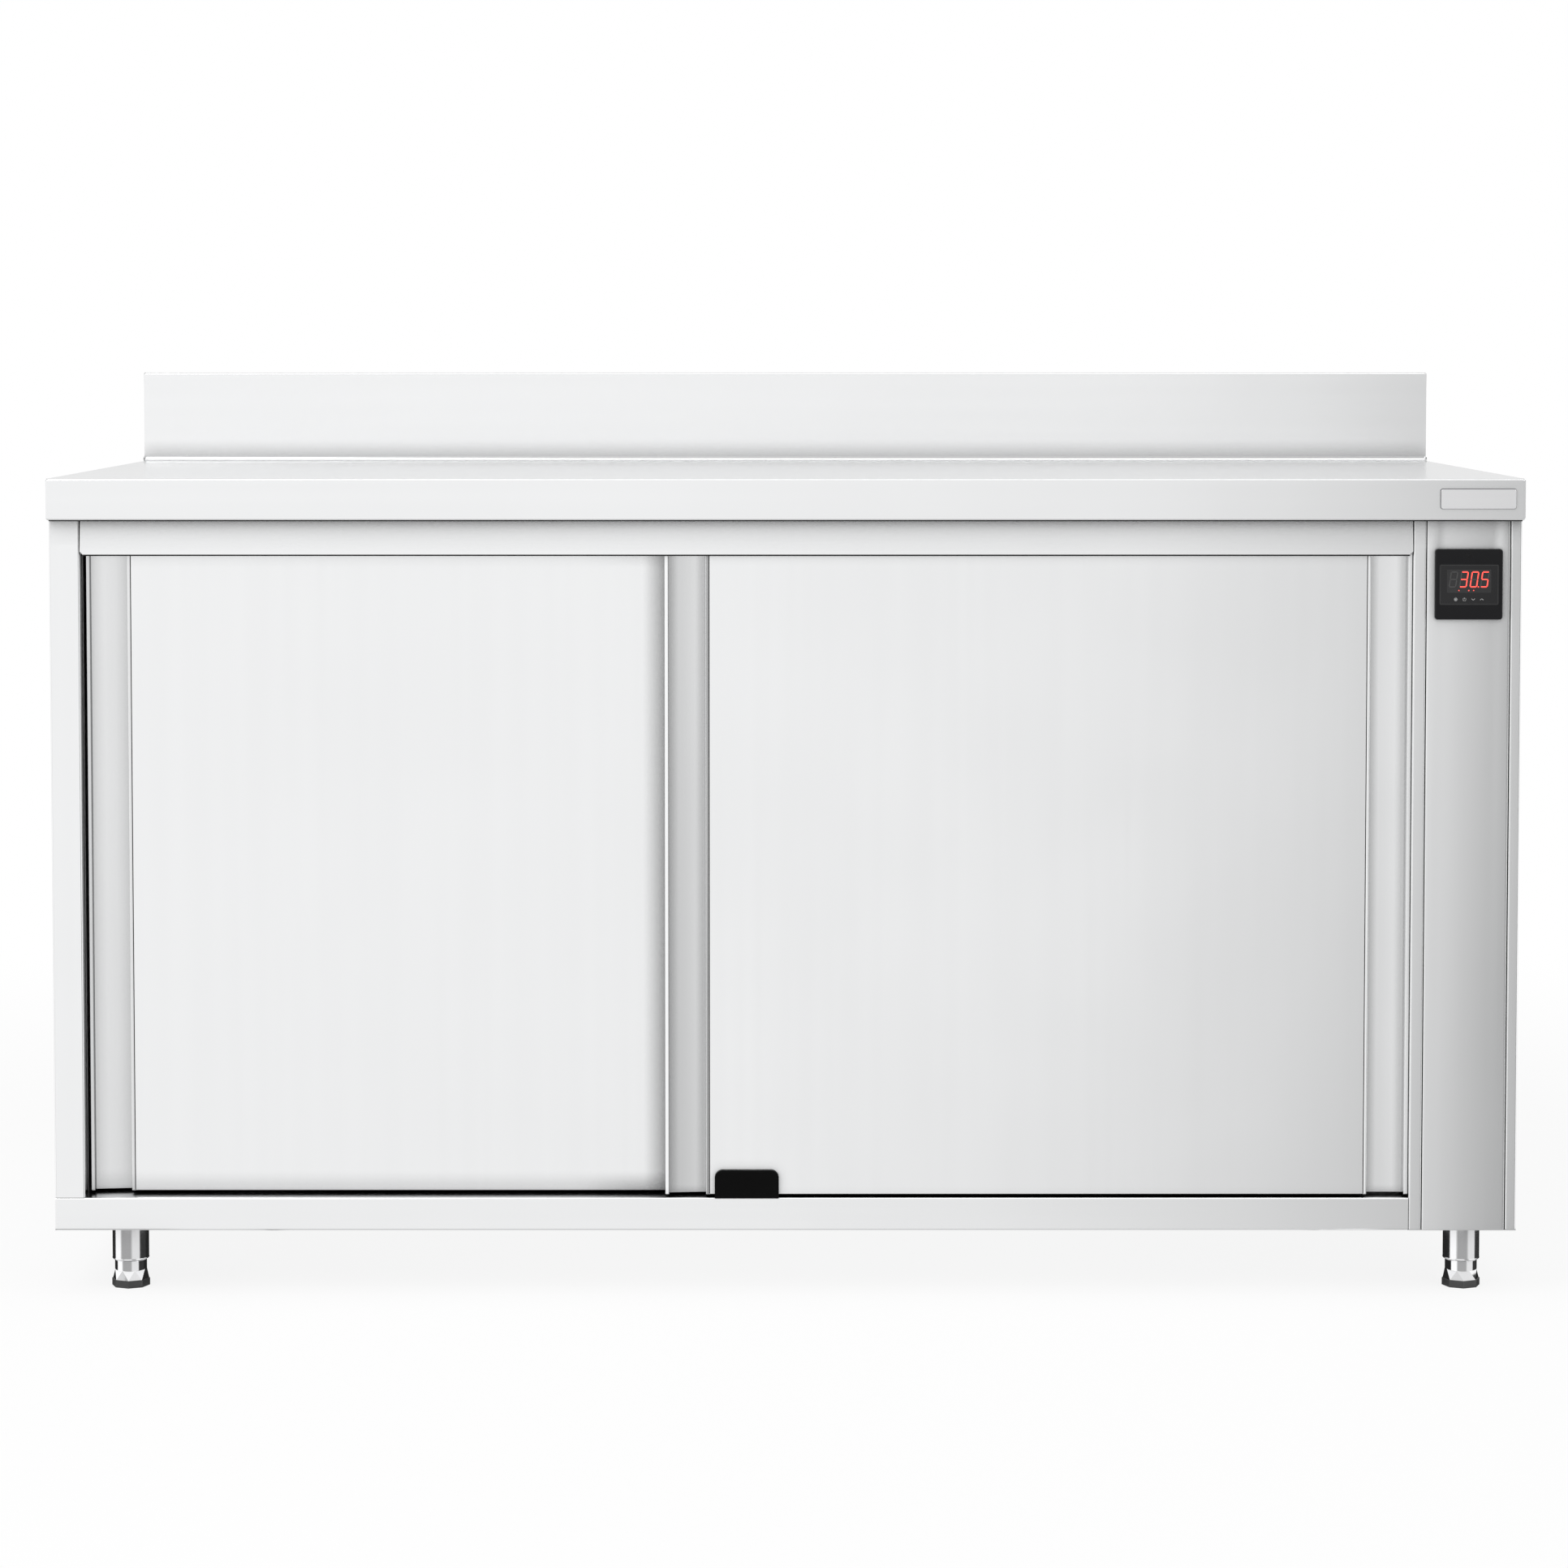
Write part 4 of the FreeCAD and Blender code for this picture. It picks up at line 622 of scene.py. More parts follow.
def screws(name, body, places, axis, radius):
    """Pan-head screws with a hexagon socket, one for each place."""
    bm = bmesh.new()
    rise = radius * SCREW_RISE
    for spot in places:
        made = []
        for share, height, hexagonal in SCREW_PROFILE:
            row = []
            for i in range(SCREW_SIDES):
                a = 2 * math.pi * i / SCREW_SIDES
                r = share * radius
                if hexagonal:
                    r = r * math.cos(math.pi / 6) / math.cos(a % (math.pi / 3) - math.pi / 6)
                local = spin(r * math.cos(a), r * math.sin(a), height * rise, axis)
                row.append(bm.verts.new(Vector(spot) + local))
            made.append(row)
        for low, high in zip(made, made[1:]):
            for i in range(SCREW_SIDES):
                j = (i + 1) % SCREW_SIDES
                bm.faces.new((low[i], low[j], high[j], high[i]))
        bm.faces.new(made[-1])
        bm.faces.new(made[0][::-1])
    return finished(name, bm, body, "door_gear_steel", smooth=35.0)


def soften(piece):
    """Small rounds on a CAD node's cut edges."""
    weld = piece.modifiers.new("weld", "WELD")
    weld.merge_threshold = 0.000001
    bevel = piece.modifiers.new("edges", "BEVEL")
    bevel.width = SOFT_WIDTH
    bevel.segments = 2
    bevel.limit_method = "ANGLE"
    bevel.angle_limit = math.radians(SOFT_ANGLE)
    normal = piece.modifiers.new("normals", "WEIGHTED_NORMAL")
    normal.keep_sharp = False
    normal.weight = 100


# Worktop

FOLD_ROUND = 2.0 * MM
COVE_ROUND = 6.0 * MM
CORNER_ROUND = 2.6 * MM
RETURN_GAP = 0.3 * MM
# A dark strip that stands for the shadow under the worktop's fold: how far it drops below the
# fold's lower edge and rises behind it, its inset at the ends, and how far back it reaches.
FOLD_SHADOW_DROP = 0.9 * MM
FOLD_SHADOW_RISE = 2.0 * MM
FOLD_SHADOW_INSET = 3.0 * MM
FOLD_SHADOW_BACK = 9.0 * MM


def build_worktop():
    """One shell: front fold, top, cove and upstand, with ground and polished corners."""
    lo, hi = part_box("worktop")
    top = TOP_HEIGHT
    lower = LOWER_EDGE
    upstand = hi.y - UPSTAND
    section = rounded([
        (lo.y + UPSTAND - RETURN_GAP, lower),
        (lo.y, lower, FOLD_ROUND),
        (lo.y, top, FOLD_ROUND),
        (upstand, top, COVE_ROUND),
        (upstand, hi.z, FOLD_ROUND),
        (hi.y, hi.z, FOLD_ROUND),
        (hi.y, lower),
    ], steps=6)
    bm = bmesh.new()
    ends = []
    for x in (lo.x, hi.x):
        ends.append([bm.verts.new((x, p[0], p[1])) for p in section])
    for i in range(len(section) - 1):
        bm.faces.new((ends[0][i], ends[0][i + 1], ends[1][i + 1], ends[1][i]))
    caps = [bm.faces.new(end) for end in ends]
    rims = []
    for cap, end in zip(caps, ends):
        for edge in cap.edges:
            if not (edge.verts[0] in (end[0], end[-1]) and edge.verts[1] in (end[0], end[-1])):
                rims.append(edge)
    bmesh.ops.bevel(
        bm, geom=rims, offset=CORNER_ROUND, segments=5, profile=0.5, affect="EDGES",
    )
    for vert in bm.verts:
        reach = CORNER_ROUND - min(vert.co.x - lo.x, hi.x - vert.co.x)
        if reach > 0 and vert.co.z < lower + CORNER_ROUND and vert.co.y < upstand:
            rise = CORNER_ROUND - math.sqrt(CORNER_ROUND ** 2 - reach ** 2)
            vert.co.z = max(vert.co.z, lower + rise)
    piece = finished("worktop_shell", bm, "carcass", "outer_stainless", replaces=("worktop",))
    sheeted(piece)


def build_fold_shadow():
    """A dark strip under the worktop's front fold, in front of the body: a painted shadow along the
    fold's lower edge.
    """
    lo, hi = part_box("worktop")
    outline = rectangle(
        lo.x + FOLD_SHADOW_INSET, hi.x - FOLD_SHADOW_INSET,
        LOWER_EDGE - FOLD_SHADOW_DROP, LOWER_EDGE + FOLD_SHADOW_RISE, 0.3 * MM,
    )
    bm = bmesh.new()
    prism(bm, rounded(outline, closed=True), "Y", lo.y + SHEET + 0.2 * MM, lo.y + FOLD_SHADOW_BACK)
    finished("worktop_fold_shadow", bm, "carcass", "rubber", material=finishes["shadow_strip"])


# Doors

HANDLE_LIP = 4.0 * MM
HANDLE_WIDTH = 40.5 * MM
HANDLE_DEPTH = 14.0 * MM
HANDLE_END = 3.0 * MM
# The narrow band beside the channel, how far it leans back, and the seam behind it
BAND = 3.4 * MM
BAND_TILT = 0.45 * MM
SEAM = 0.8 * MM
SEAM_DEPTH = 0.75 * MM
STRIP_DEPTH = 0.3 * MM
STRIP_END = 0.6 * MM
CROWN = 0.35 * MM
EDGE_ROUND = 0.5 * MM
PANEL_STEPS = 26
DISH_STEPS = 8
CHANNEL = HANDLE_LIP + HANDLE_WIDTH
SEAM_START = CHANNEL + BAND


def dish(x0, x1, slopes):
    """The floor of a handle channel from x0 to x1, which leans by the two slopes at its ends."""
    first, last = slopes
    width = x1 - x0
    places = []
    drops = []
    for i in range(DISH_STEPS + 1):
        x = width * i / DISH_STEPS
        places.append(x0 + width * i / DISH_STEPS)
        drops.append(first * x + (last - first) * x * x / (2 * width))
    deepest = HANDLE_DEPTH - 0.3 * MM
    return [(x, deepest - max(drops) + drop) for x, drop in zip(places, drops)]


def door_section(width, depth, lip, left_lean, right_lean):
    """The door's front from left to right, as (x, depth) points, and where its main panel
    starts and ends."""
    seam = SEAM_START
    left = [
        (0, depth),
        (0, lip[0], 0.3 * MM),
        (HANDLE_LIP - 0.6 * MM, lip[1], 0.4 * MM),
        (HANDLE_LIP, lip[1] + 0.2 * MM),
        *dish(HANDLE_LIP, CHANNEL, left_lean),
        (CHANNEL, 0, 0.5 * MM),
        (seam, BAND_TILT, 0.2 * MM),
        (seam, SEAM_DEPTH),
        (seam + SEAM, SEAM_DEPTH),
        (seam + SEAM, 0, 0.4 * MM),
    ]
    right = [
        (width - seam - SEAM, 0, 0.4 * MM),
        (width - seam - SEAM, SEAM_DEPTH),
        (width - seam, SEAM_DEPTH),
        (width - seam, BAND_TILT, 0.2 * MM),
        (width - CHANNEL, 0, 1.2 * MM),
        *dish(width - CHANNEL, width - HANDLE_LIP, right_lean),
        (width - HANDLE_LIP, 0.2 * MM, 0.5 * MM),
        (width + 0.4 * MM, 0.0, 0.3 * MM),
        (width + 0.4 * MM, depth),
    ]
    start = seam + SEAM + 0.4 * MM
    end = width - start
    path = rounded(left + right, steps=4)
    cut = next(i for i, p in enumerate(path) if p.x > width / 2)
    inner = []
    for i in range(1, PANEL_STEPS):
        inner.append(Vector((start + (end - start) * i / PANEL_STEPS, 0.0)))
    return path[:cut] + inner + path[cut:], start, end


def panel_wave(u, v, phase):
    """How far the thin panel stands out of its plane: a crown that dies at the edges, with a
    slight wave in it."""
    crown = (1 - abs(2 * u - 1) ** 7) * (1 - abs(2 * v - 1) ** 7)
    wave = 0.35 * math.sin(3.1 * u + 2.3 * v + phase) * math.sin(2.2 * v - 1.7 * u + 2 * phase)
    return CROWN * crown * (1 + wave)


def door_rows(height):
    """Rows of the door from its foot up: height, whether the channels are open, and the inset."""
    rows = [(0.0, True, EDGE_ROUND), (EDGE_ROUND, True, 0.0)]
    for i in range(1, PANEL_STEPS):
        rows.append((height * i / PANEL_STEPS, True, 0.0))
    rows.append((height - HANDLE_END - 0.4 * MM, True, 0.0))
    rows.append((height - HANDLE_END, False, 0.0))
    rows.append((height - EDGE_ROUND, False, 0.0))
    rows.append((height, False, EDGE_ROUND))
    return rows


def build_door(name, phase, lip, left_lean, right_lean, finish):
    """A door's front skin with its channels, and dark strips in its two seams: painted shadow in
    the seams.
    """
    lo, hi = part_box(name + "_outer_skin")
    depth = hi.y - lo.y
    width = hi.x - lo.x
    height = hi.z - lo.z
    section, start, end = door_section(width, depth, lip, left_lean, right_lean)
    bm = bmesh.new()
    grid = []
    for z, is_open, inset in door_rows(height):
        row = []
        for p in section:
            y = p.y
            across = min(p.x, width - p.x)
            in_channel = HANDLE_LIP - 0.7 * MM < across < CHANNEL + 0.6 * MM
            if not is_open and in_channel and y > 0:
                y = min(y, 0.25 * MM)
            if start < p.x < end:
                y -= panel_wave((p.x - start) / (end - start), z / height, phase)
            if p.y < depth:
                y = max(y, inset)
            row.append(bm.verts.new((lo.x + p.x, lo.y + y, lo.z + z)))
        grid.append(row)
    for low, high in zip(grid, grid[1:]):
        for i in range(len(section) - 1):
            bm.faces.new((low[i], low[i + 1], high[i + 1], high[i]))
    bm.faces.new(grid[0][::-1])
    bm.faces.new(grid[-1])
    bm.faces.new([row[0] for row in grid] + [row[-1] for row in grid[::-1]])
    piece = finished(
        name + "_front_skin", bm, name, "door_stainless",
        material=finishes[finish], replaces=(name + "_outer_skin",),
    )
    weighted(piece)
    # Painted shadow: dark strips set into the two seams.
    strips = bmesh.new()
    front = lo.y + STRIP_DEPTH
    back = lo.y + SEAM_DEPTH
    for x in (lo.x + SEAM_START, hi.x - SEAM_START - SEAM):
        outline = [(x, front), (x + SEAM, front), (x + SEAM, back), (x, back)]
        prism(strips, outline, "Z", lo.z + STRIP_END, hi.z - STRIP_END)
    finished(name + "_seam_shadow_strips", strips, name, "rubber", material=finishes["shadow_strip"])


# Top fascia, controls and badge

FASCIA_CORNER = 3.0 * MM
FASCIA_DEPTH = 2.4 * MM
FASCIA_RIM = 1.5 * MM
# A dark strip that stands for the fascia's shadow on the doors: its drop below the fascia, its rise
# behind it, its inset at the ends and its thickness.
FASCIA_SHADOW_DROP = 1.7 * MM
FASCIA_SHADOW_RISE = 4.0 * MM
FASCIA_SHADOW_INSET = 3.0 * MM
FASCIA_SHADOW_THICKNESS = 0.7 * MM
PANEL_CROWN = 0.35 * MM
PANEL_LAP = 0.5 * MM
PANEL_CUT_STEPS = 8


def build_fascia():
    """A shallow pan with rounded lower corners and a flange at its top, in front of the door gear,
    and a dark strip behind its lower edge: a painted shadow of the fascia on the doors."""
    lo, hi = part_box("top_fascia")
    pan = [(lo.x, lo.z, FASCIA_CORNER), (hi.x, lo.z, FASCIA_CORNER), (hi.x, hi.z), (lo.x, hi.z)]
    back = lo.y + FASCIA_DEPTH
    bm = bmesh.new()
    prism(bm, rounded(pan, closed=True), "Y", lo.y, back, edge=FASCIA_RIM, steps=4)
    flange = [(lo.x, hi.z - SHEET), (hi.x, hi.z - SHEET), (hi.x, hi.z), (lo.x, hi.z)]
    prism(bm, flange, "Y", back, hi.y)
    weighted(finished(
        "top_fascia_pan", bm, "carcass", "outer_stainless",
        material=finishes["fascia_stainless"], replaces=("top_fascia",),
    ))
    # Painted shadow: a dark strip below the fascia's lower edge.
    fascia_shadow = bmesh.new()
    outline = rectangle(
        lo.x + FASCIA_SHADOW_INSET, hi.x - FASCIA_SHADOW_INSET, lo.z - FASCIA_SHADOW_DROP, lo.z + FASCIA_SHADOW_RISE, 0.5 * MM,
    )
    prism(fascia_shadow, rounded(outline, closed=True), "Y", back, back + FASCIA_SHADOW_THICKNESS)
    finished("fascia_shadow_strip", fascia_shadow, "carcass", "rubber", material=finishes["shadow_strip"])


def build_control_panel():
    """The controls' front sheet, crowned, with a round fold at both sides and the cut-out."""
    lo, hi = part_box("control_panel_front")
    cut_lo, cut_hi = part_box("controller_housing")
    left = lo.x - PANEL_LAP
    right = hi.x + PANEL_LAP
    middle = (left + right) / 2
    flat = [left + 2.0 * MM, cut_lo.x]
    for i in range(1, PANEL_CUT_STEPS + 1):
        flat.append(cut_lo.x + (cut_hi.x - cut_lo.x) * i / PANEL_CUT_STEPS)
    flat.append(right - 3.0 * MM)
    crowned = []
    for x in flat:
        crowned.append((x, lo.y - PANEL_CROWN * (1 - ((x - middle) / (right - middle)) ** 2)))
    section = rounded([
        (left, hi.y), (left, lo.y, 0.8 * MM), *crowned, (right, lo.y, 1.6 * MM), (right, hi.y),
    ])
    bm = bmesh.new()
    rows = []
    for z in (lo.z, cut_lo.z, cut_hi.z, hi.z):
        rows.append([bm.verts.new((p.x, p.y, z)) for p in section])
    for k, (low, high) in enumerate(zip(rows, rows[1:])):
        for i in range(len(section) - 1):
            at = (section[i].x + section[i + 1].x) / 2
            if k != 1 or not cut_lo.x < at < cut_hi.x:
                bm.faces.new((low[i], low[i + 1], high[i + 1], high[i]))
    sheeted(finished(
        "control_panel_sheet", bm, "carcass", "outer_stainless",
        material=finishes["upright_stainless"], replaces=("control_panel_front",),
    ))


BADGE_LEFT = 707.7 * MM
BADGE_BOTTOM = 862.4 * MM
BADGE_WIDTH = 82.4 * MM
BADGE_HEIGHT = 22.0 * MM
# A darker rim shows round the plate, wide at the left and the top and narrow elsewhere: painted
# shade along the plate's edges.
BADGE_RIM = 0.7 * MM
BADGE_NARROW_RIM = 0.3 * MM
BADGE_SHADE_DEPTH = 0.3 * MM
BADGE_FACE = 0.9 * MM


def build_badge():
    """The bare plate on the worktop's right end, with a darker rim round it that is wider at the
    left and the top: painted shade along the plate's edges.
    """
    lo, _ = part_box("worktop")
    right = BADGE_LEFT + BADGE_WIDTH
    top = BADGE_BOTTOM + BADGE_HEIGHT
    outline = rectangle(BADGE_LEFT, right, BADGE_BOTTOM, top, 2.5 * MM)
    # Painted shade: a dark layer behind the plate, showing as a rim.
    shade_rim = bmesh.new()
    prism(shade_rim, rounded(outline, closed=True), "Y", lo.y - BADGE_SHADE_DEPTH, lo.y)
    finished(
        "badge_shade_rim", shade_rim, "carcass", "outer_stainless", material=finishes["badge_shade_edge"],
    )
    outline = rectangle(
        BADGE_LEFT + BADGE_RIM, right - BADGE_NARROW_RIM,
        BADGE_BOTTOM + BADGE_NARROW_RIM, top - BADGE_RIM, 2.2 * MM,
    )
    plate = bmesh.new()
    prism(
        plate, rounded(outline, closed=True), "Y",
        lo.y - BADGE_FACE, lo.y - BADGE_SHADE_DEPTH, edge=0.4 * MM,
    )
    weighted(finished(
        "badge_plate", plate, "carcass", "outer_stainless", material=finishes["badge"],
    ))


# Signs on the controller's window: films that lie on its face

FILM = 0.06 * MM
SEGMENTS = {
    "a": ((0, 2), (1, 2)), "b": ((1, 2), (1, 1)), "c": ((1, 1), (1, 0)), "d": ((0, 0), (1, 0)),
    "e": ((0, 1), (0, 0)), "f": ((0, 2), (0, 1)), "g": ((0, 1), (1, 1)),
}
LIT = {" ": "", "3": "abcdg", "0": "abcdef", "5": "acdfg"}
DIGITS = " 305"
DIGIT_SIZE = Vector((7.0 * MM, 8.1 * MM))
DIGIT_PITCH = 11.35 * MM
DIGIT_SLANT = math.tan(math.radians(8.0))
SEGMENT_WIDTH = 1.3 * MM
DOT_RADIUS = 0.75 * MM
# Small lit marks under the digits: place from the left in mm, and number of corners
MARKS = ((21.0, 4), (31.7, 6), (37.0, 4))
# The touch keys: a star in a ring, an open ring with a stroke, an arrow down and an arrow up
KEY_PLACES = (17.6, 27.1, 36.6, 45.9)
KEY_LINE = 0.45 * MM
KEY_RADIUS = 1.7 * MM
KEY_STEPS = 12
BORDER_INSET = 0.9 * MM
BORDER_LINE = 0.25 * MM


def bar(bm, a, b, width, y):
    """Adds a flat bar with pointed ends from a to b, as (x, z) points, on a face at y."""
    a = Vector(a)
    b = Vector(b)
    along = (b - a).normalized()
    across = Vector((-along.y, along.x)) * width / 2
    gap = along * width * 0.12
    tip = along * width / 2
    a = a + gap
    b = b - gap
    outline = [a, a + tip - across, b - tip - across, b, b - tip + across, a + tip + across]
    prism(bm, outline, "Y", y - FILM, y)


def ring_outline(cx, cz, radius, count):
    points = []
    for i in range(count):
        a = 2 * math.pi * i / count
        points.append((cx + radius * math.cos(a), cz + radius * math.sin(a)))
    return points


def build_digits(lo, hi):
    """The display's dark field, its lit segments and marks, and its unlit segments."""
    face = lo.y
    film = face - FILM
    first = lo.x + 10.4 * MM
    base = hi.z - 24.3 * MM
    field = rectangle(
        lo.x + 8.1 * MM, lo.x + 55.9 * MM, hi.z - 30.6 * MM, hi.z - 5.6 * MM, 0.8 * MM,
    )
    panel = bmesh.new()
    prism(panel, rounded(field, closed=True), "Y", film, face)
    finished("display_panel", panel, "carcass", "window", material=finishes["display_panel"])
    lit = bmesh.new()
    ghost = bmesh.new()
    for i, digit in enumerate(DIGITS):
        for segment, corners in SEGMENTS.items():
            ends = []
            for u, v in corners:
                z = v * DIGIT_SIZE.y
                x = first + i * DIGIT_PITCH + u * DIGIT_SIZE.x + z * DIGIT_SLANT
                ends.append((x, base + z))
            bar(lit if segment in LIT[digit] else ghost, ends[0], ends[1], SEGMENT_WIDTH, film)
    dot_x = first + 2 * DIGIT_PITCH + DIGIT_SIZE.x + 2.0 * MM
    spots = [ring_outline(dot_x, base, DOT_RADIUS, 12)]
    for offset, sides in MARKS:
        spots.append(ring_outline(lo.x + offset * MM, hi.z - 28.2 * MM, DOT_RADIUS, sides))
    for spot in spots:
        prism(lit, spot, "Y", face - 2 * FILM, film)
    finished("display_digits", lit, "carcass", "window", material=finishes["display_red"])
    finished("display_ghosts", ghost, "carcass", "window", material=finishes["display_ghost"])


def key_ring(bm, x, z, face, start, sweep):
    """Adds an arc of short bars."""
    for i in range(KEY_STEPS):
        ends = []
        for k in (i, i + 1):
            a = start + sweep * k / KEY_STEPS
            ends.append((x + KEY_RADIUS * math.cos(a), z + KEY_RADIUS * math.sin(a)))
        bar(bm, ends[0], ends[1], KEY_LINE, face)


def key_arrow(bm, x, z, face, sign):
    """Adds an arrowhead that points up, or down where the sign is negative."""
    for side in (-1, 1):
        foot = (x + side * 1.9 * MM, z - sign * 0.9 * MM)
        bar(bm, foot, (x, z + sign * 0.9 * MM), KEY_LINE, face)


def build_keys(lo, hi):
    """The signs of the four touch keys."""
    face = lo.y
    z = hi.z - 37.9 * MM
    star, power, down, up = [lo.x + offset * MM for offset in KEY_PLACES]
    bm = bmesh.new()
    key_ring(bm, star, z, face, 0.0, 2 * math.pi)
    for i in range(3):
        a = math.pi * i / 3
        d = Vector((math.cos(a), math.sin(a))) * KEY_RADIUS * 0.9
        bar(bm, (star - d.x, z - d.y), (star + d.x, z + d.y), KEY_LINE, face)
    key_ring(bm, power, z, face, math.radians(120), math.radians(300))
    bar(bm, (power, z + 0.1 * MM), (power, z + 2.0 * MM), KEY_LINE, face)
    key_arrow(bm, down, z, face, -1)
    key_arrow(bm, up, z, face, 1)
    finished("display_keys", bm, "carcass", "window", material=finishes["display_print"])


def build_border(lo, hi):
    """The thin line round the window."""
    left, right = lo.x + BORDER_INSET, hi.x - BORDER_INSET
    low, high = lo.z + BORDER_INSET, hi.z - BORDER_INSET
    corners = [(left, low), (right, low), (right, high), (left, high)]
    bm = bmesh.new()
    for a, b in zip(corners, corners[1:] + corners[:1]):
        bar(bm, a, b, BORDER_LINE, lo.y)
    finished("display_border", bm, "carcass", "window", material=finishes["display_ghost"])


CAP_RADIUS = 3.1 * MM
CAP_DROP = 6.5 * MM
CAP_SEAT = 0.8 * MM
# Turned profile of the cap, with a groove: share of the radius, and height in mm
CAP_PROFILE = (
    (0.0, 0.75), (0.55, 0.72), (0.72, 0.6), (0.8, 0.15), (0.86, 0.15), (0.9, 0.6),
    (0.98, 0.5), (0.99, 0.0), (0.0, 0.0),
)


def build_cap():
    """The small round cap above the window, with a groove round it."""
    lo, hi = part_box("controller_bezel")
    centre = Vector(((lo.x + hi.x) / 2, lo.y + CAP_SEAT, hi.z - CAP_DROP))
    bm = bmesh.new()
    profile = [(share * CAP_RADIUS, height * MM) for share, height in CAP_PROFILE]
    lathe(bm, profile, centre, "-Y", 40)
    finished("bezel_cap", bm, "carcass", "gloss_black", smooth=40.0)


# Legs and feet

LEG_RADIUS = 20.0 * MM
LEG_BORE = 18.6 * MM
LEG_PLATE = 3.0 * MM
LEG_PLATE_HALF = 30.0 * MM
LEG_SCREW_OFFSET = 23.0 * MM
COLLAR_RADIUS = 17.5 * MM
COLLAR_TOP = 30.2 * MM
FLARE_RADIUS = 20.0 * MM
FLARE_TOP = 19.0 * MM
PAD_HEIGHT = 8.0 * MM
PAD_RADIUS = 21.0 * MM
SPINDLE_RADIUS = 5.0 * MM
THREAD_PITCH = 1.5 * MM
THREAD_DEPTH = 0.6 * MM
THREAD_SIDES = 28
THREAD_STEPS = 6
FOOT_NAMES = ("front_left", "front_right", "rear_left", "rear_right")


def build_legs():
    """Round tubes with a beaded lower rim, each under a screwed plate."""
    lo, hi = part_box("leg_tubes")
    low = lo.z
    plate_z = hi.z - LEG_PLATE
    profile = [
        (LEG_BORE, low),
        (LEG_RADIUS - 0.5 * MM, low),
        (LEG_RADIUS, low + 0.4 * MM),
        (LEG_RADIUS + 0.25 * MM, low + 0.9 * MM),
        (LEG_RADIUS + 0.2 * MM, low + 1.4 * MM),
        (LEG_RADIUS, low + 1.8 * MM),
        (LEG_RADIUS, low + 2.4 * MM),
        (LEG_RADIUS, plate_z - 2.6 * MM),
        (LEG_RADIUS, plate_z - 2.0 * MM),
        (LEG_RADIUS + 0.6 * MM, plate_z - 0.6 * MM),
        (LEG_RADIUS + 2.0 * MM, plate_z),
        (LEG_BORE, plate_z),
        (LEG_BORE, low),
    ]
    half = LEG_PLATE_HALF
    bm = bmesh.new()
    spots = []
    for name in FOOT_NAMES:
        centre = foot_centre(name)
        lathe(bm, profile, centre, "Z", 64)
        outline = rectangle(
            centre.x - half, centre.x + half, centre.y - half, centre.y + half, 8.0 * MM,
        )
        prism(bm, rounded(outline, closed=True), "Z", plate_z, hi.z, edge=0.7 * MM)
        for dx in (-LEG_SCREW_OFFSET, LEG_SCREW_OFFSET):
            for dy in (-LEG_SCREW_OFFSET, LEG_SCREW_OFFSET):
                spots.append((centre.x + dx, centre.y + dy, plate_z))
    weighted(finished("leg_tubes_turned", bm, "carcass", "leg_steel", replaces=("leg_tubes",)))
    screws("leg_plate_screws", "carcass", spots, "-Z", 4.2 * MM)


def thread(bm, centre, low, high):
    """Adds a threaded spindle with a helical groove."""
    count = THREAD_SIDES
    rows = int((high - low) / THREAD_PITCH * THREAD_STEPS)
    rings = []
    for row in range(rows + 1):
        z = low + (high - low) * row / rows
        ring = []
        for i in range(count):
            a = 2 * math.pi * i / count
            turn = (z / THREAD_PITCH - i / count) % 1.0
            r = SPINDLE_RADIUS - THREAD_DEPTH * abs(2 * turn - 1)
            ring.append(bm.verts.new(centre + Vector((r * math.cos(a), r * math.sin(a), z))))
        rings.append(ring)
    for lower, upper in zip(rings, rings[1:]):
        for i in range(count):
            j = (i + 1) % count
            bm.faces.new((lower[i], lower[j], upper[j], upper[i]))
    bm.faces.new(rings[0][::-1])
    bm.faces.new(rings[-1])


def ring_of(bm, centre, radius, z, count, turn=0.0):
    """Adds a ring of vertices, turned by a share of their spacing."""
    made = []
    for i in range(count):
        a = 2 * math.pi * (i + turn) / count
        spot = Vector((radius * math.cos(a), radius * math.sin(a), z))
        made.append(bm.verts.new(centre + spot))
    return made


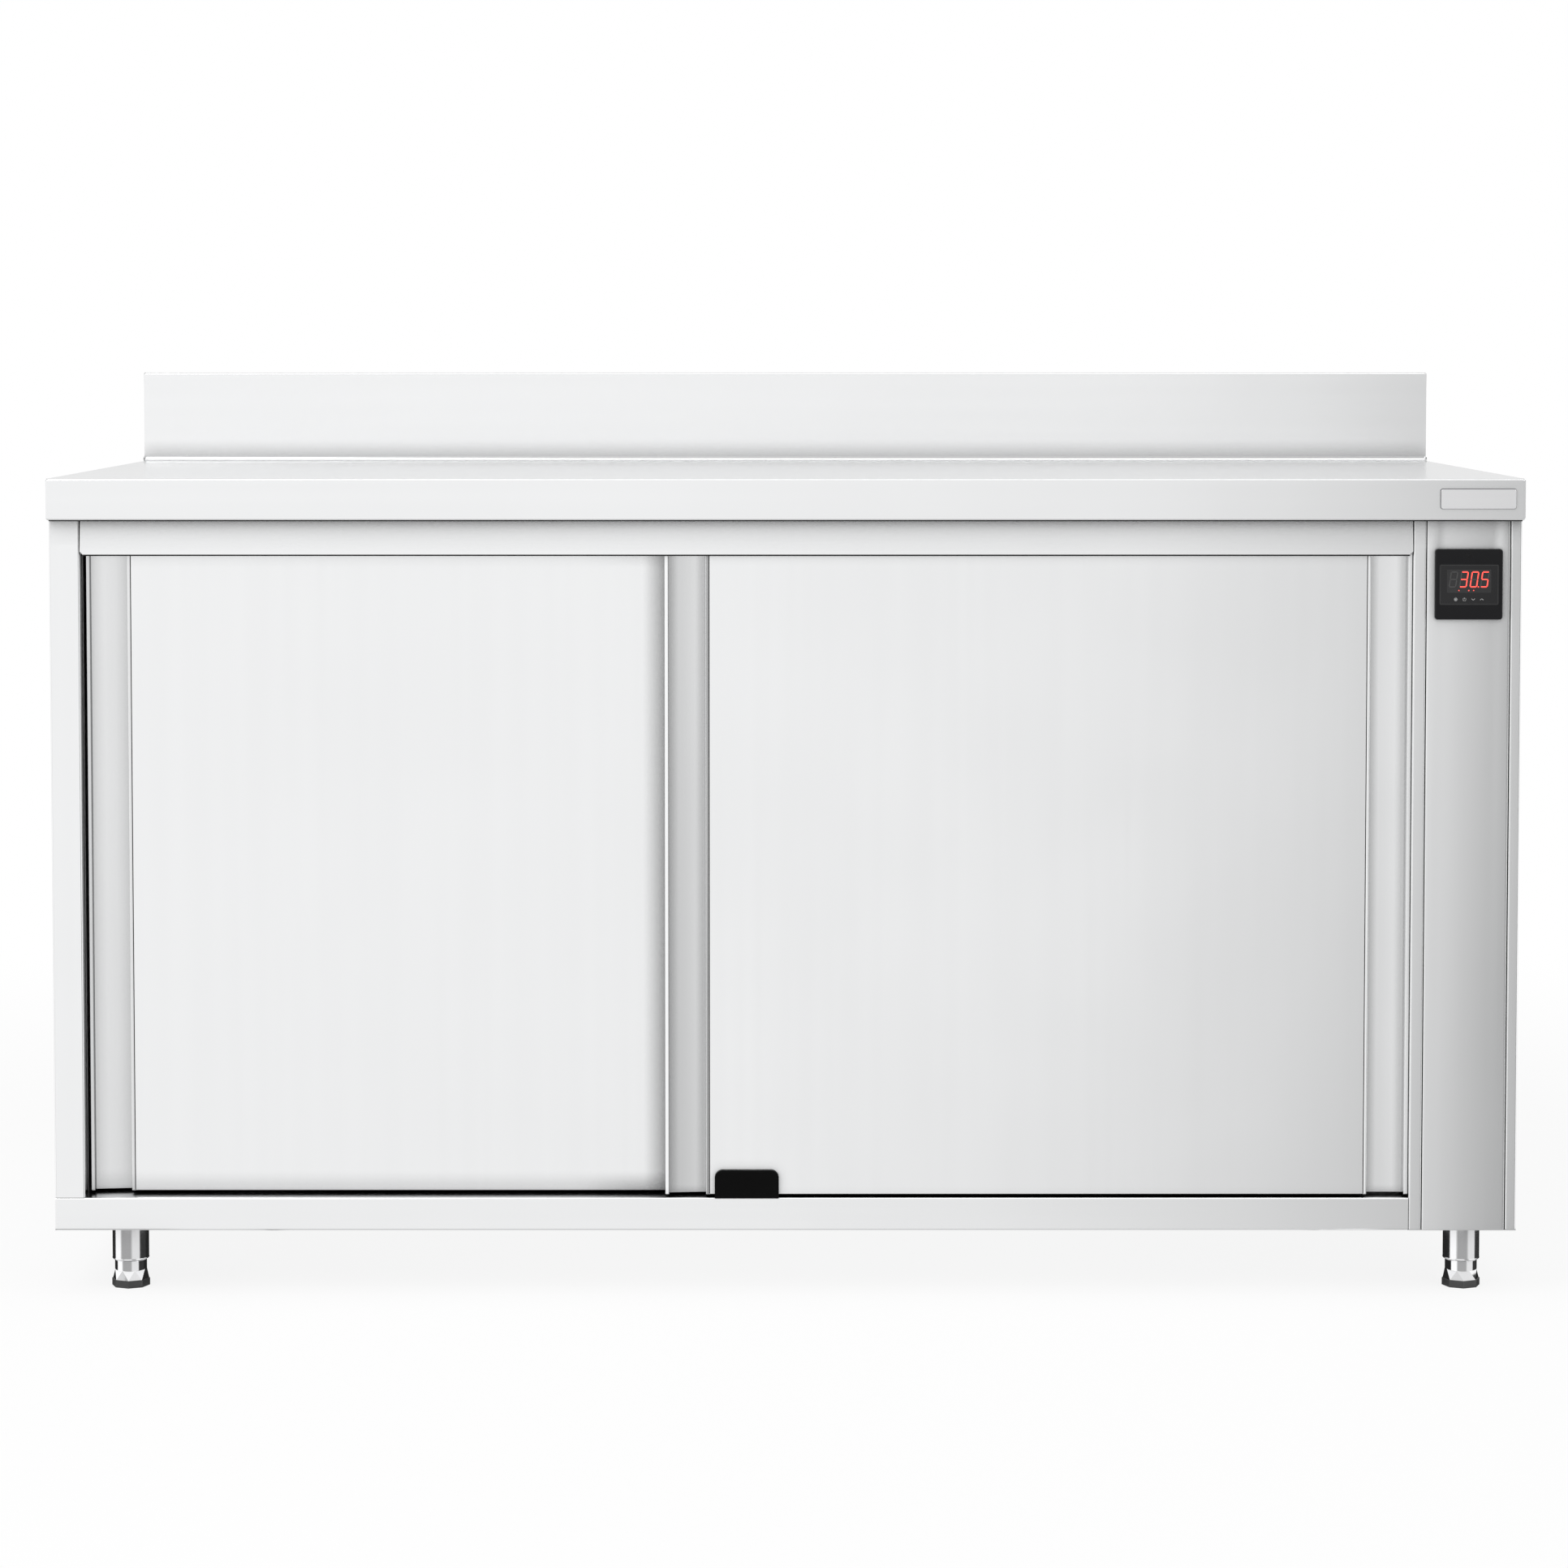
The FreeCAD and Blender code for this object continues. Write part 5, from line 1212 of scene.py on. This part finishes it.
def build_foot(name):
    """A chromed foot with a black sole: round collar, triangular facets down to an octagon, and
    a threaded spindle."""
    centre = foot_centre(name)
    _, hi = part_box(name + "_foot")
    profile = [
        (0.0, COLLAR_TOP),
        (COLLAR_RADIUS - 0.9 * MM, COLLAR_TOP),
        (COLLAR_RADIUS - 0.25 * MM, COLLAR_TOP - 0.25 * MM),
        (COLLAR_RADIUS, COLLAR_TOP - 0.9 * MM),
        (COLLAR_RADIUS, COLLAR_TOP - 1.3 * MM),
        (COLLAR_RADIUS, FLARE_TOP - 0.4 * MM),
        (0.0, FLARE_TOP - 0.4 * MM),
    ]
    bm = bmesh.new()
    lathe(bm, profile, centre, "Z", 64)
    high = ring_of(bm, centre, COLLAR_RADIUS + 0.15 * MM, FLARE_TOP, 8, 0.5)
    low = ring_of(bm, centre, FLARE_RADIUS, PAD_HEIGHT + 0.2 * MM, 8)
    for i in range(8):
        j = (i + 1) % 8
        bm.faces.new((low[i], low[j], high[i]))
        bm.faces.new((low[j], high[j], high[i]))
    bm.faces.new(low[::-1])
    bm.faces.new(high)
    thread(bm, centre, COLLAR_TOP, hi.z)
    finished(
        name + "_foot_chromed", bm, name + "_foot", "foot_chrome",
        replaces=(name + "_foot",), smooth=12.0,
    )
    pad = bmesh.new()
    outline = ring_outline(centre.x, centre.y, PAD_RADIUS, 8)
    prism(pad, outline, "Z", 0.0, PAD_HEIGHT, edge=0.3 * MM, back_edge=0.3 * MM)
    finished(
        name + "_foot_sole", pad, name + "_foot", "rubber",
        material=finishes["foot_rubber"], replaces=(name + "_foot_pad",),
    )


BACK_SCREW_INSET = 9.0 * MM
DUCT_SCREW_ENDS = 30.0 * MM
DUCT_SCREW_SIDES = 16.0 * MM


def build_back_screws():
    """Pan-head screws round the edge of the back panel."""
    lo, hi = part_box("back_panel")
    y = hi.y
    inset = BACK_SCREW_INSET
    spots = []
    for i in range(7):
        x = lo.x + inset + (hi.x - lo.x - 2 * inset) * i / 6
        spots += [(x, y, lo.z + inset), (x, y, LOWER_EDGE - inset)]
    for i in range(1, 4):
        z = lo.z + (LOWER_EDGE - lo.z) * i / 4
        spots += [(lo.x + inset, y, z), (hi.x - inset, y, z)]
    screws("back_panel_screws", "carcass", spots, "Y", 3.6 * MM)


def build_duct_screws():
    """Screws that hold the duct wall to its flanges."""
    lo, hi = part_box("air_duct_wall")
    spots = []
    for z in (lo.z + DUCT_SCREW_ENDS, (lo.z + hi.z) / 2, hi.z - DUCT_SCREW_ENDS):
        for y in (lo.y + DUCT_SCREW_SIDES, hi.y - DUCT_SCREW_SIDES):
            spots.append((lo.x, y, z))
    screws("duct_wall_screws", "carcass", spots, "-X", 3.2 * MM)


for name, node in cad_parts.items():
    for slot in node.material_slots:
        kind = slot.material.name
        if name in UPRIGHT_NODES and kind == "outer_stainless":
            kind = "upright_stainless"
        slot.material = finishes[kind]
    if name in SOFT_NODES:
        soften(node)

build_worktop()
build_door(
    "left_door", 0.4, (0.0, 0.35 * MM), (0.13, 0.11), (0.1, 0.07), "rear_door_stainless",
)
build_door(
    "right_door", 2.1, (1.7 * MM, 0.0), (0.1, 0.07), (0.0, -0.03), "door_stainless",
)
build_fascia()
build_fold_shadow()
build_control_panel()
build_badge()
window_low, window_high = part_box("controller_window")
build_digits(window_low, window_high)
build_keys(window_low, window_high)
build_border(window_low, window_high)
build_cap()
build_legs()
for foot_name in FOOT_NAMES:
    build_foot(foot_name)
build_back_screws()
build_duct_screws()
